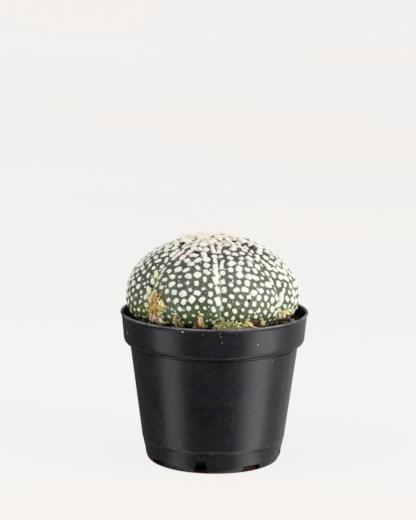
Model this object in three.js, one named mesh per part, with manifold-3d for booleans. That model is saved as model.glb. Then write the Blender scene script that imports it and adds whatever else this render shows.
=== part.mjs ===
// Potted star cactus: a low, eight-ribbed globe cactus in a black moulded nursery pot.
// Millimetres, +Z up. The origin is the centre of the pot's foot, on the surface that it stands on.
// Azimuths are in degrees from the front (-Y) towards the right (+X).
import * as THREE from "three";
import { mergeVertices } from "three/addons/utils/BufferGeometryUtils.js";
import Module from "manifold-3d";

// ---- driving dimensions ----

const GAP = 0.35; // air kept between neighbouring pieces

const POT = {
  height: 73.5,
  rimRadius: 45.6, // outside of the lip, which flares a little
  bandTopRadius: 45,
  bandFootRadius: 44,
  bandFoot: 61.2, // height at which the band rounds in to the wall
  wallTop: 57.9,
  wallTopRadius: 40.9,
  ringHeight: 11.3, // where the wall steps in to the foot
  ringRadius: 34.7,
  ringStep: 0.3,
  wallFoot: 5,
  wallFootRadius: 33.2,
  footOuterRadius: 30.2,
  footInnerRadius: 26.2,
  floorLift: 1.5, // how far the floor stands above the foot ring
  wall: 1.2,
  lipHeight: 1.6, // over which the lip flares out
  around: 48, // facets
};

const SLOT = {
  count: 8,
  firstAzimuth: -10,
  innerRadius: 28,
  sill: 0.6, // the foot ring stays whole below the slots
  tall: { footWidth: 8, topWidth: 4.2, height: 7 },
  low: { footWidth: 10.6, topWidth: 9.4, height: 3.5 },
};

const BODY = {
  radius: 42.5,
  aside: -1.1, // it grows a little left of the pot's middle
  equator: 80.4, // height of the widest ring
  crownHeight: 28.8, // from the widest ring to the shoulders of the crown
  baseDepth: 19.7, // from the widest ring to the underside
  crownRoundness: 2.08, // 2 is an ellipse, and more has fuller shoulders
  baseRoundness: 1.9,
  crownDip: 1.4,
  crownDipRadius: 7,
  neckRadius: 7,
  rootTipRadius: 1.6,
  rootTip: 40,
};

const RIB = {
  widths: [45, 44, 44, 45, 44, 45, 42, 51], // degrees, from the front groove round to the right
  frontGroove: 5.7,
  bulge: 0.028, // how far a rib's flank falls away, as a share of the radius
  crease: 0.022, // the sharp groove between two ribs, as a share of the radius
  columns: 6, // facets across a rib
};

const SOIL = { edge: 68.4, collar: 69.4, around: 40 };

// Azimuths here and in MOSS are about the body's own axis.
const DRIED_FLOWERS = {
  dried_flower_left: { azimuth: -38, height: 78.8, length: 16.6, width: 10, depth: 3.2, lean: 3 },
  dried_flower_middle: { azimuth: -22.6, height: 74.8, length: 7.6, width: 4.8, depth: 3.6, lean: -8 },
  dried_flower_front: { azimuth: -8.4, height: 75.2, length: 8.6, width: 5.8, depth: 3.6, lean: 10 },
  dried_husk_right: { azimuth: 29, height: 74, length: 6.2, width: 8.4, depth: 4, lean: 0 },
  dried_husk_side: { azimuth: 55.6, height: 75.9, length: 6.4, width: 7.4, depth: 2.6, lean: 6 },
};

// A strand of moss and old fibres along the foot of the cactus, between two azimuths.
const MOSS = { from: 2.8, to: 23, ring: 40.4, height: 74, radius: 2.1 };

// Crumbs lie round the back, from the right of the front round to the left.
const CRUMB = { count: 12, firstAzimuth: 50, sweep: 245, ring: 39.7, smallest: 1.1, largest: 1.7 };

const COLOUR = {
  pot: 0x2b2a2e,
  soil: 0x241c16,
  crumb: 0x4a3424,
  skin: 0x66745a,
  moss: 0x8c8a3a,
  driedFlower: 0xb88a4a,
};

// ---- helpers ----

const wasm = await Module();
wasm.setup();

const radians = THREE.MathUtils.degToRad;
const point = (r, z) => new THREE.Vector2(r, z);

// Points of a quadratic curve from start to end, both included.
function arc(start, corner, end, steps) {
  return new THREE.QuadraticBezierCurve(start, corner, end).getPoints(steps);
}

// A profile of (radius, height) turned about Z.
function turned(profile, around) {
  return new THREE.LatheGeometry(profile, around).rotateX(Math.PI / 2);
}

// The geometry as a solid: shared vertices merged, and slivers at the poles dropped.
function solidOf(geometry) {
  const bare = geometry.clone();
  bare.deleteAttribute("normal");
  bare.deleteAttribute("uv");
  const merged = mergeVertices(bare, 1e-4);
  const source = merged.index ? merged.index.array : [...merged.attributes.position.array.keys()];
  const kept = [];
  for (let i = 0; i < source.length; i += 3) {
    const [a, b, c] = [source[i], source[i + 1], source[i + 2]];
    if (a !== b && b !== c && c !== a) kept.push(a, b, c);
  }
  return new wasm.Manifold(
    new wasm.Mesh({
      numProp: 3,
      vertProperties: new Float32Array(merged.attributes.position.array),
      triVerts: new Uint32Array(kept),
    }),
  );
}

function geometryOf(solid) {
  const mesh = solid.getMesh();
  return new THREE.BufferGeometry()
    .setAttribute("position", new THREE.BufferAttribute(new Float32Array(mesh.vertProperties), 3))
    .setIndex(new THREE.BufferAttribute(new Uint32Array(mesh.triVerts), 1));
}

function named(name, solid, colour, roughness) {
  const geometry = geometryOf(solid);
  geometry.computeVertexNormals();
  const mesh = new THREE.Mesh(
    geometry,
    new THREE.MeshStandardMaterial({ color: colour, roughness, metalness: 0 }),
  );
  mesh.name = name;
  return mesh;
}

// ---- pot ----

// The inside of the pot from the floor's centre up to the rim, moved inwards by inset.
function potInside(inset) {
  const skin = POT.wall + inset;
  const floor = POT.floorLift + skin;
  return [
    point(0, floor),
    point(POT.footInnerRadius - 2.4, floor),
    point(POT.footInnerRadius, skin),
    ...arc(
      point(POT.footOuterRadius - skin / 2, skin),
      point(POT.wallFootRadius - skin, skin),
      point(POT.wallFootRadius - skin, POT.wallFoot + skin / 2),
      3,
    ),
    point(POT.wallTopRadius - skin, POT.wallTop - inset / 2),
    point(POT.bandFootRadius - skin, POT.bandFoot + POT.wall - inset / 2),
    point(POT.bandTopRadius - skin, POT.height - POT.lipHeight),
  ];
}

function potOutside() {
  return [
    point(0, POT.floorLift),
    point(POT.footInnerRadius - 1.2, POT.floorLift),
    point(POT.footInnerRadius, 0),
    ...arc(
      point(POT.footOuterRadius, 0),
      point(POT.wallFootRadius - 0.3, 0.2),
      point(POT.wallFootRadius, POT.wallFoot),
      4,
    ),
    point(POT.ringRadius - POT.ringStep, POT.ringHeight - POT.ringStep),
    point(POT.ringRadius, POT.ringHeight),
    ...arc(
      point(POT.wallTopRadius, POT.wallTop),
      point(POT.bandFootRadius - 0.2, POT.wallTop + 0.6),
      point(POT.bandFootRadius, POT.bandFoot),
      3,
    ),
    point(POT.bandTopRadius, POT.height - POT.lipHeight),
    point(POT.rimRadius, POT.height - 0.5),
    point(POT.rimRadius - 0.3, POT.height),
    point(POT.rimRadius - POT.wall, POT.height),
  ];
}

// A keystone-shaped drain slot through the bottom corner of the wall, at an azimuth.
function drainSlot({ footWidth, topWidth, height }, azimuth) {
  const outline = new THREE.Shape([
    point(-footWidth / 2, SLOT.sill),
    point(footWidth / 2, SLOT.sill),
    point(topWidth / 2, height),
    point(-topWidth / 2, height),
  ]);
  const depth = POT.rimRadius - SLOT.innerRadius;
  return new THREE.ExtrudeGeometry(outline, { depth, bevelEnabled: false })
    .rotateX(Math.PI / 2)
    .translate(0, -SLOT.innerRadius, 0)
    .rotateZ(radians(azimuth));
}

function nurseryPot() {
  const profile = [...potOutside(), ...potInside(0).reverse()];
  let pot = solidOf(turned(profile, POT.around));
  for (let i = 0; i < SLOT.count; i += 1) {
    const azimuth = SLOT.firstAzimuth + (i * 360) / SLOT.count;
    pot = pot.subtract(solidOf(drainSlot(i % 2 ? SLOT.low : SLOT.tall, azimuth)));
  }
  return pot;
}

// ---- cactus ----

// A point of the body's outline, grown outwards by grow, at a latitude from -90 to 90 degrees.
function outlinePoint(latitude, grow) {
  const across = Math.cos(radians(latitude));
  const up = Math.sin(radians(latitude));
  const power = 2 / (up < 0 ? BODY.baseRoundness : BODY.crownRoundness);
  const rise = up < 0 ? BODY.baseDepth : BODY.crownHeight;
  const r = BODY.radius * Math.max(across, 0) ** power;
  const dip = Math.max(0, 1 - r / BODY.crownDipRadius);
  const crown = up > 0 ? BODY.crownDip * dip * dip * (3 - 2 * dip) : 0;
  const z = BODY.equator + Math.sign(up) * rise * Math.abs(up) ** power - crown;
  return point(r + grow * across, z + grow * up);
}

// Root tip, taproot, neck, underside, widest ring and crown, from the bottom up.
function bodyProfile(grow) {
  const latitudes = [-72, -62, -52, -42, -33, -25, -17, -9, -1, 8, 17, 26, 35, 44, 53, 62, 71, 78, 84];
  const underside = outlinePoint(latitudes[0], grow);
  return [
    point(0, BODY.rootTip - grow),
    point(BODY.rootTipRadius + grow, BODY.rootTip + 1.2 - grow),
    point(BODY.neckRadius + grow, underside.y - 4),
    ...latitudes.map((latitude) => outlinePoint(latitude, grow)),
    point(0, outlinePoint(90, grow).y),
  ];
}

// How much of the radius is left at a place across a rib, from 0 at one groove to 1 at the next.
function ribShare(across) {
  const fromCrest = Math.abs(2 * across - 1);
  const crease = Math.max(0, fromCrest - 0.8) / 0.2;
  return 1 - RIB.bulge * fromCrest ** 2 - RIB.crease * crease ** 2;
}

// Evenly spaced columns are moved to each rib's own width, and pulled in towards the grooves.
function ribbed(geometry) {
  const place = geometry.attributes.position;
  const ribs = RIB.widths.length;
  const starts = RIB.widths.map((_, i) =>
    RIB.widths.slice(0, i).reduce((sum, width) => sum + width, RIB.frontGroove),
  );
  for (let i = 0; i < place.count; i += 1) {
    const [x, y] = [place.getX(i), place.getY(i)];
    const turn = (Math.atan2(x, -y) / (2 * Math.PI) + 1) % 1;
    const step = Math.round(turn * ribs * RIB.columns) % (ribs * RIB.columns);
    const rib = Math.floor(step / RIB.columns);
    const across = (step % RIB.columns) / RIB.columns;
    const azimuth = radians(starts[rib] + RIB.widths[rib] * across);
    const r = Math.hypot(x, y) * ribShare(across);
    place.setXY(i, r * Math.sin(azimuth), -r * Math.cos(azimuth));
  }
  return geometry;
}

function cactusBody() {
  const body = ribbed(turned(bodyProfile(0), RIB.widths.length * RIB.columns));
  return solidOf(body.translate(BODY.aside, 0, 0));
}

// The unribbed body grown by the air gap: what its neighbours are cut back from.
function cactusClearance() {
  const grown = turned(bodyProfile(GAP), RIB.widths.length * RIB.columns);
  return solidOf(grown.translate(BODY.aside, 0, 0));
}

// ---- potting mix ----

function pottingMix() {
  const inside = potInside(GAP);
  const wallTop = inside.pop();
  const shoulder = inside[inside.length - 1];
  const share = (SOIL.edge - shoulder.y) / (wallTop.y - shoulder.y);
  const plug = [
    ...inside,
    point(shoulder.x + share * (wallTop.x - shoulder.x), SOIL.edge),
    point(39, SOIL.edge + 0.3),
    point(36, SOIL.collar),
    point(0, SOIL.collar),
  ];
  return solidOf(turned(plug, SOIL.around)).subtract(cactusClearance());
}

// ---- dried flower remains, moss and soil crumbs ----

// A withered flower: a puckered tube, narrow where it grew and frayed wide at its lower end.
function witheredFlower({ azimuth, height, length, width, depth, lean }) {
  const profile = [
    point(0, 0.5),
    point(0.28, 0.46),
    point(0.36, 0.25),
    point(0.46, 0),
    point(0.4, -0.2),
    point(0.5, -0.42),
    point(0.3, -0.5),
    point(0, -0.47),
  ].reverse();
  const geometry = turned(profile, 10);
  const place = geometry.attributes.position;
  for (let i = 0; i < place.count; i += 1) {
    const pucker = 1 + 0.14 * Math.cos(5 * Math.atan2(place.getX(i), place.getY(i)));
    place.setXY(i, place.getX(i) * pucker, place.getY(i) * pucker);
  }
  const r = bodyRadiusAt(height);
  return geometry
    .scale(width, depth * 2, length)
    .rotateY(radians(lean))
    .rotateX(radians(-surfaceTilt(height)))
    .translate(0, -r, height)
    .rotateZ(radians(azimuth))
    .translate(BODY.aside, 0, 0);
}

// The body's radius at a height, on the crest of a rib.
function bodyRadiusAt(height) {
  const above = height - BODY.equator;
  const rise = above < 0 ? BODY.baseDepth : BODY.crownHeight;
  const roundness = above < 0 ? BODY.baseRoundness : BODY.crownRoundness;
  const share = Math.abs(above) / rise;
  return BODY.radius * (1 - share ** roundness) ** (1 / roundness);
}

// How far the body's surface leans from upright at a height, in degrees: positive leans in at the top.
function surfaceTilt(height) {
  const step = 0.5;
  const change = bodyRadiusAt(height - step) - bodyRadiusAt(height + step);
  return THREE.MathUtils.radToDeg(Math.atan2(change, 2 * step));
}

// The biggest piece of a cut solid, so that a flower stays one body.
function largest(solid) {
  return solid.decompose().reduce((a, b) => (a.volume() > b.volume() ? a : b));
}

function mossStrand() {
  const stops = [0, 0.25, 0.5, 0.75, 1].map((share) => {
    const azimuth = radians(THREE.MathUtils.lerp(MOSS.from, MOSS.to, share));
    return new THREE.Vector3(MOSS.ring * Math.sin(azimuth), -MOSS.ring * Math.cos(azimuth), MOSS.height);
  });
  const section = new THREE.Shape().absarc(0, 0, MOSS.radius, 0, 2 * Math.PI);
  return new THREE.ExtrudeGeometry(section, {
    steps: 8,
    curveSegments: 8,
    bevelEnabled: false,
    extrudePath: new THREE.CatmullRomCurve3(stops),
  }).translate(BODY.aside, 0, 0);
}

function soilCrumb(index) {
  const swing = Math.sin(index * 2.4);
  const size = THREE.MathUtils.lerp(CRUMB.smallest, CRUMB.largest, (swing + 1) / 2);
  const along = index / (CRUMB.count - 1);
  const azimuth = CRUMB.firstAzimuth + CRUMB.sweep * along + 4 * Math.cos(index * 1.7);
  return new THREE.DodecahedronGeometry(size)
    .scale(1.15, 0.95, 0.8)
    .rotateZ(index)
    .translate(0, -CRUMB.ring - swing * 0.4, SOIL.edge + 0.6 + GAP + size * 0.8)
    .rotateZ(radians(azimuth));
}

// ---- the assembled part ----

const root = new THREE.Group();
root.name = "potted_star_cactus";

const pot = nurseryPot();
const mix = pottingMix();
const clearance = cactusClearance();
root.add(named("nursery_pot", pot, COLOUR.pot, 0.45));
root.add(named("potting_mix", mix, COLOUR.soil, 0.95));
root.add(named("cactus_body", cactusBody(), COLOUR.skin, 0.75));

// What a piece lying on the mix has to stay clear of: the cactus, and the mix and pot wall.
const holder = solidOf(
  turned(
    [
      point(0, 0),
      point(POT.rimRadius, 0),
      point(POT.rimRadius, POT.height),
      point(POT.rimRadius - POT.wall - GAP, POT.height),
      point(POT.bandTopRadius - POT.wall - GAP, POT.height - POT.lipHeight),
      point(POT.bandTopRadius - POT.wall - GAP - 0.4, SOIL.edge + GAP),
      point(36, SOIL.collar + GAP),
      point(0, SOIL.collar + GAP),
    ],
    POT.around,
  ),
);

for (const [name, shape] of Object.entries(DRIED_FLOWERS)) {
  const flower = solidOf(witheredFlower(shape)).subtract(clearance).subtract(holder);
  root.add(named(name, largest(flower), COLOUR.driedFlower, 0.9));
}

const moss = solidOf(mossStrand()).subtract(clearance).subtract(holder);
root.add(named("moss_strand_front", largest(moss), COLOUR.moss, 0.95));

for (let i = 0; i < CRUMB.count; i += 1) {
  const name = `soil_crumb_${String(i + 1).padStart(2, "0")}`;
  root.add(named(name, solidOf(soilCrumb(i)), COLOUR.crumb, 0.95));
}

export default root;
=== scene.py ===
"""Looks of the potted star cactus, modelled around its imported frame.

Metres, +Z up, -Y the front. Azimuths are in degrees from the front towards the right (+X).
"""

import logging
import math
import random
from dataclasses import dataclass
from enum import Enum
from typing import Any, Callable, Mapping, Optional, Sequence, Union

import bpy
import numpy as np
from mathutils import Matrix, Vector


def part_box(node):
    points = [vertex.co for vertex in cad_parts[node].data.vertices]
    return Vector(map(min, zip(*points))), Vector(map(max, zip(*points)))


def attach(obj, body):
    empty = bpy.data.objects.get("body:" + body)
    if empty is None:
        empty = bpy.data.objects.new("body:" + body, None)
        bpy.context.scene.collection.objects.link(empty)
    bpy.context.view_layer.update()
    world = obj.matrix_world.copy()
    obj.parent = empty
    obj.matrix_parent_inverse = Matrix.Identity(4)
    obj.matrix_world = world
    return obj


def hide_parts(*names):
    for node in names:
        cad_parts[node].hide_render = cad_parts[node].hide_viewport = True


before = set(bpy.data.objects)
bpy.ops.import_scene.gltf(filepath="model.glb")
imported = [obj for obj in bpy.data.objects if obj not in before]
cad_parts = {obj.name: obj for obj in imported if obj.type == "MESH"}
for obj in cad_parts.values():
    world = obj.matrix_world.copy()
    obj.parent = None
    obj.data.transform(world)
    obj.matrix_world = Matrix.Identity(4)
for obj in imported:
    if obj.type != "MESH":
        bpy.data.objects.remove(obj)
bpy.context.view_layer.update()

MM = 0.001
log = logging.getLogger("star_cactus")

Colour = tuple[float, float, float]
Spot = tuple[float, float, float]
Span = tuple[float, float]


# ---- shader graphs ----


class Signal:
    """The output of a shader node, which takes part in sums as a number does."""

    def __init__(self, graph: "Graph", socket: Optional[bpy.types.NodeSocket]) -> None:
        """Wraps one output socket of a graph."""
        self.graph = graph
        self.socket = socket

    def _maths(self, operation: str, first: "Operand", second: "Operand") -> "Signal":
        """Adds one Math node that works on two operands."""
        return self.graph.node("ShaderNodeMath", {"operation": operation}, {0: first, 1: second})

    def __add__(self, other: "Operand") -> "Signal":
        """This plus other."""
        return self._maths("ADD", self, other)

    def __radd__(self, other: "Operand") -> "Signal":
        """Other plus this."""
        return self._maths("ADD", other, self)

    def __sub__(self, other: "Operand") -> "Signal":
        """This less other."""
        return self._maths("SUBTRACT", self, other)

    def __rsub__(self, other: "Operand") -> "Signal":
        """Other less this."""
        return self._maths("SUBTRACT", other, self)

    def __mul__(self, other: "Operand") -> "Signal":
        """This times other."""
        return self._maths("MULTIPLY", self, other)

    def __rmul__(self, other: "Operand") -> "Signal":
        """Other times this."""
        return self._maths("MULTIPLY", other, self)

    def above(self, low: float, high: float) -> "Signal":
        """A smooth step up or down.

        Args:
            low: Where the step is 0, and stays 0 beyond.
            high: Where it is 1; it may be less than low.

        Returns:
            The step.
        """
        rising = low < high
        ends = (0.0, 1.0) if rising else (1.0, 0.0)
        values = {0: self, 1: min(low, high), 2: max(low, high), 3: ends[0], 4: ends[1]}
        return self.graph.node("ShaderNodeMapRange", {"interpolation_type": "SMOOTHSTEP"}, values)

    def part(self, index: int) -> "Signal":
        """One component, 0 to 2, of this vector."""
        return self.graph.node("ShaderNodeSeparateXYZ", {}, {0: self}, index)

    def beside(self, output: str) -> "Signal":
        """Another output of the same node."""
        return Signal(self.graph, self.socket.node.outputs[output])


Operand = Union[Signal, float]


class Graph:
    """A tree of shader nodes, from its coordinates on."""

    def __init__(self, tree: bpy.types.NodeTree, coordinates: str) -> None:
        """Starts from an empty tree.

        Args:
            tree: The node tree.
            coordinates: Which output of Texture Coordinate it reads.
        """
        self.tree = tree
        self.tree.nodes.clear()
        self.place = self.node("ShaderNodeTexCoord", {}, {}, coordinates)

    def node(
        self,
        kind: str,
        settings: Mapping[str, Any],
        values: Mapping[Union[int, str], Any],
        output: Union[int, str] = 0,
    ) -> Signal:
        """Adds a node.

        Args:
            kind: The node's type.
            settings: Its properties; the key "stops" holds a ramp's (position, colour) pairs.
            values: What each input socket holds or is linked to.
            output: The output socket that is wanted.

        Returns:
            The wanted output, or an empty signal where the node has none.
        """
        made = self.tree.nodes.new(kind)
        for key, setting in settings.items():
            if key == "stops":
                self._set_stops(made.color_ramp, setting)
            else:
                setattr(made, key, setting)
        for key, value in values.items():
            if isinstance(value, Signal):
                self.tree.links.new(value.socket, made.inputs[key])
            else:
                made.inputs[key].default_value = value
        return Signal(self, made.outputs[output] if made.outputs else None)

    @staticmethod
    def _set_stops(ramp: bpy.types.ColorRamp, stops: Sequence[tuple[float, Colour]]) -> None:
        """Gives a colour ramp its stops.

        Args:
            ramp: The ramp.
            stops: The position and the colour of each.
        """
        while len(ramp.elements) < len(stops):
            ramp.elements.new(1.0)
        for element, (position, colour) in zip(ramp.elements, stops):
            element.position = position
            element.color = (*colour, 1.0)

    def _where(self, scale: Spot, shift: float) -> Signal:
        """The coordinates, scaled along each axis and shifted."""
        values = {"Vector": self.place, "Scale": scale, "Location": (shift,) * 3}
        return self.node("ShaderNodeMapping", {}, values)

    def noise(self, size: float, detail: float = 3.0, stretch: Spot = (1, 1, 1),
              shift: float = 0.0) -> Signal:
        """Cloudy noise.

        Args:
            size: Roughly the distance between two light patches, in metres.
            detail: How many finer layers it has.
            stretch: How much longer the patches are along each axis.
            shift: Moves the pattern, so that two noises differ.

        Returns:
            A value around 0.5.
        """
        where = self._where(tuple(1 / (size * s) for s in stretch), shift)
        return self.node("ShaderNodeTexNoise", {}, {"Vector": where, "Scale": 1.0, "Detail": detail})

    def specks(self, size: float, shift: float = 0.0) -> tuple[Signal, Signal]:
        """Scattered cells.

        Args:
            size: The distance between two cells, in metres.
            shift: Moves the pattern.

        Returns:
            The distance from the nearest cell's middle, in cells, and a random value for each cell.
        """
        where = self._where((1 / size,) * 3, shift)
        cells = self.node("ShaderNodeTexVoronoi", {}, {"Vector": where, "Scale": 1.0}, "Distance")
        return cells, self.node("ShaderNodeSeparateColor", {}, {0: cells.beside("Color")})

    def near(self, place: Vector, radius: float) -> Signal:
        """Marks the surroundings of a point.

        Args:
            place: The point.
            radius: How far the mark reaches.

        Returns:
            1 at the point, and 0 a little beyond the radius.
        """
        ends = {0: self.place, 1: place}
        away = self.node("ShaderNodeVectorMath", {"operation": "DISTANCE"}, ends, "Value")
        return away.above(radius * 1.25, radius * 0.75)

    def attribute(self, name: str) -> Signal:
        """A value that the mesh carries."""
        return self.node("ShaderNodeAttribute", {"attribute_name": name}, {}, "Fac")

    def ramp(self, value: Signal, stops: Sequence[tuple[float, Colour]]) -> Signal:
        """The colour that a value has on a ramp."""
        return self.node("ShaderNodeValToRGB", {"stops": stops}, {0: value})

    def mix(self, share: Operand, first: Union[Signal, Colour], second: Union[Signal, Colour]) -> Signal:
        """Two colours mixed: all first at 0, all second at 1."""
        ends = [c if isinstance(c, Signal) else (*c, 1.0) for c in (first, second)]
        return self.node("ShaderNodeMix", {"data_type": "RGBA"}, {0: share, 6: ends[0], 7: ends[1]}, 2)


class Finish(Graph):
    """The node tree of one material, with a Principled surface."""

    def __init__(self, name: str) -> None:
        """Makes the material.

        Args:
            name: The material's name.
        """
        self.material = bpy.data.materials.new(name)
        self.material.use_nodes = True
        super().__init__(self.material.node_tree, "Object")
        surface = self.node("ShaderNodeBsdfPrincipled", {}, {})
        self.surface = surface.socket.node
        self.node("ShaderNodeOutputMaterial", {}, {"Surface": surface})

    def set(self, **values: Any) -> None:
        """Sets or links sockets of the surface.

        Args:
            values: What each socket gets, with _ for the space in its name.
        """
        for key, value in values.items():
            socket = self.surface.inputs[key.replace("_", " ")]
            if isinstance(value, Signal):
                self.tree.links.new(value.socket, socket)
            elif isinstance(value, tuple):
                socket.default_value = (*value, 1.0)
            else:
                socket.default_value = value

    def relief(self, height: Signal, depth: float) -> None:
        """Raises the surface's shading by a height signal, depth metres from 0 to 1."""
        values = {"Height": height, "Distance": depth, "Strength": 1.0}
        self.set(Normal=self.node("ShaderNodeBump", {}, values))


# ---- finishes ----


@dataclass(frozen=True)
class PotPlastic:
    """Black satin plastic with a faint purple cast, scuffs, settled dust, and a lip painted pale grey: partly
    wear, partly painted highlight.

    Each piece of grit on it is (azimuth, radius in mm, height in mm). The first is the large one.
    """

    deep: Colour = (0.0036, 0.0034, 0.0042)
    worn: Colour = (0.018, 0.017, 0.020)
    violet: Colour = (0.0095, 0.0075, 0.0150)
    olive: Colour = (0.0085, 0.0095, 0.0070)
    # pale grey of the lip and of the ring's corner; on the lip it is partly wear and partly painted highlight
    edge: Colour = (0.22, 0.205, 0.225)
    dust: Colour = (0.55, 0.53, 0.50)
    earth: Colour = (0.13, 0.050, 0.026)
    tint: Colour = (0.94, 0.92, 1.0)
    roughness: float = 0.30
    lip: float = 73.5 * MM
    ring: float = 11.3 * MM
    band: Span = (60 * MM, 64 * MM)
    earth_line: Span = (2.2 * MM, 1.0 * MM)
    dust_gap: float = 2.3 * MM
    grit: tuple[Spot, ...] = ((-19.1, 45.0, 71.7), (-6.8, 44.9, 71.0), (3.3, 44.9, 71.3),
                              (4.1, 44.8, 70.0), (4.7, 44.5, 67.2))
    large_grit: float = 0.38 * MM
    small_grit: float = 0.24 * MM

    def plastic(self, g: Finish, cloud: Signal, mottle: Signal, scuffs: Signal) -> Signal:
        """The colour of the plastic, away from its edges.

        Args:
            g: The graph that is being built.
            cloud: Coarse noise.
            mottle: Fine noise.
            scuffs: Where the plastic is scuffed.

        Returns:
            The colour.
        """
        hue = g.noise(6 * MM, 3.0, stretch=(1, 1, 0.6), shift=15.0)
        base = g.mix(hue.above(0.50, 0.64) * 0.8, self.deep, self.violet)
        base = g.mix(hue.above(0.48, 0.36) * 0.8, base, self.olive)
        pale = cloud.above(0.35, 0.7) * 0.25 + scuffs * 0.5 + mottle.above(0.55, 0.75) * 0.35
        return g.mix(pale, base, self.worn)

    def speck(self, g: Finish, height: Signal) -> Signal:
        """Where a speck of dust lies.

        Args:
            g: The graph that is being built.
            height: The height above the floor.

        Returns:
            1 on a speck of the rim band, less on one of the wall, and 0 elsewhere.
        """
        distance, pick = g.specks(self.dust_gap, 1.0)
        band = height.above(*self.band)
        return distance.above(0.20, 0.08) * (pick + band * 0.02).above(0.984, 0.992) * (0.4 + band * 0.6)

    def wear(self, g: Finish, base: Signal, height: Signal, mottle: Signal, lip_wear_and_highlight: Signal) -> Signal:
        """Adds what the lip, the ring and the foot have picked up, the painted highlight along the lip, and
        the grit.

        Args:
            g: The graph that is being built.
            base: The colour so far.
            height: The height above the floor.
            mottle: Fine noise.
            lip_wear_and_highlight: How pale the lip is painted, partly wear and partly painted highlight.

        Returns:
            The colour.
        """
        base = g.mix(lip_wear_and_highlight, base, self.edge)
        corner = height.above(self.ring - 0.5 * MM, self.ring - 0.1 * MM)
        corner = corner * height.above(self.ring + 0.6 * MM, self.ring + 0.2 * MM)
        base = g.mix(corner * mottle.above(0.40, 0.60) * 0.16, base, self.edge)
        base = g.mix((height + mottle * 2 * MM).above(*self.earth_line) * 0.7, base, self.earth)
        for index, (azimuth, radius, level) in enumerate(self.grit):
            size, strength = (self.small_grit, 0.45) if index else (self.large_grit, 1.0)
            base = g.mix(g.near(spot(azimuth, radius * MM, level * MM), size) * strength, base, self.dust)
        return base

    def material(self) -> bpy.types.Material:
        """Builds the finish.

        Returns:
            The material.
        """
        g = Finish("pot_plastic")
        height = g.place.part(2)
        cloud = g.noise(14 * MM, 4.0)
        streak = g.noise(1.1 * MM, 5.0, stretch=(1, 1, 9), shift=3.0)
        turning = g.noise(11 * MM, 5.0, stretch=(1, 1, 8), shift=12.0)
        mottle = g.noise(1.6 * MM, 5.0, shift=9.0)
        fine = g.noise(0.28 * MM, 2.0, shift=7.0)
        scuffs = streak.above(0.56, 0.74) * cloud.above(0.42, 0.62)
        # the lip's top edge is painted pale: partly wear, partly a painted highlight of its rounded edge
        lip_wear_and_highlight = (height + mottle * 0.5 * MM).above(self.lip - 0.75 * MM, self.lip - 0.05 * MM)
        speck = self.speck(g, height)
        base = self.plastic(g, cloud, mottle, scuffs)
        base = self.wear(g, base, height, mottle, lip_wear_and_highlight * (0.12 + cloud.above(0.36, 0.62) * 0.85))
        g.set(
            Base_Color=g.mix(speck * 0.9, base, self.dust),
            Roughness=(self.roughness + (mottle - 0.5) * 0.22 + (turning - 0.5) * 0.20
                       + scuffs * 0.16 + speck * 0.3 + lip_wear_and_highlight * 0.1),
            IOR=1.45,
            Specular_Tint=self.tint,
        )
        g.relief(fine * 0.35 + streak * 0.4 + mottle * 0.5 + cloud * 1.6 + turning * 1.2, 0.05 * MM)
        return g.material


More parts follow.
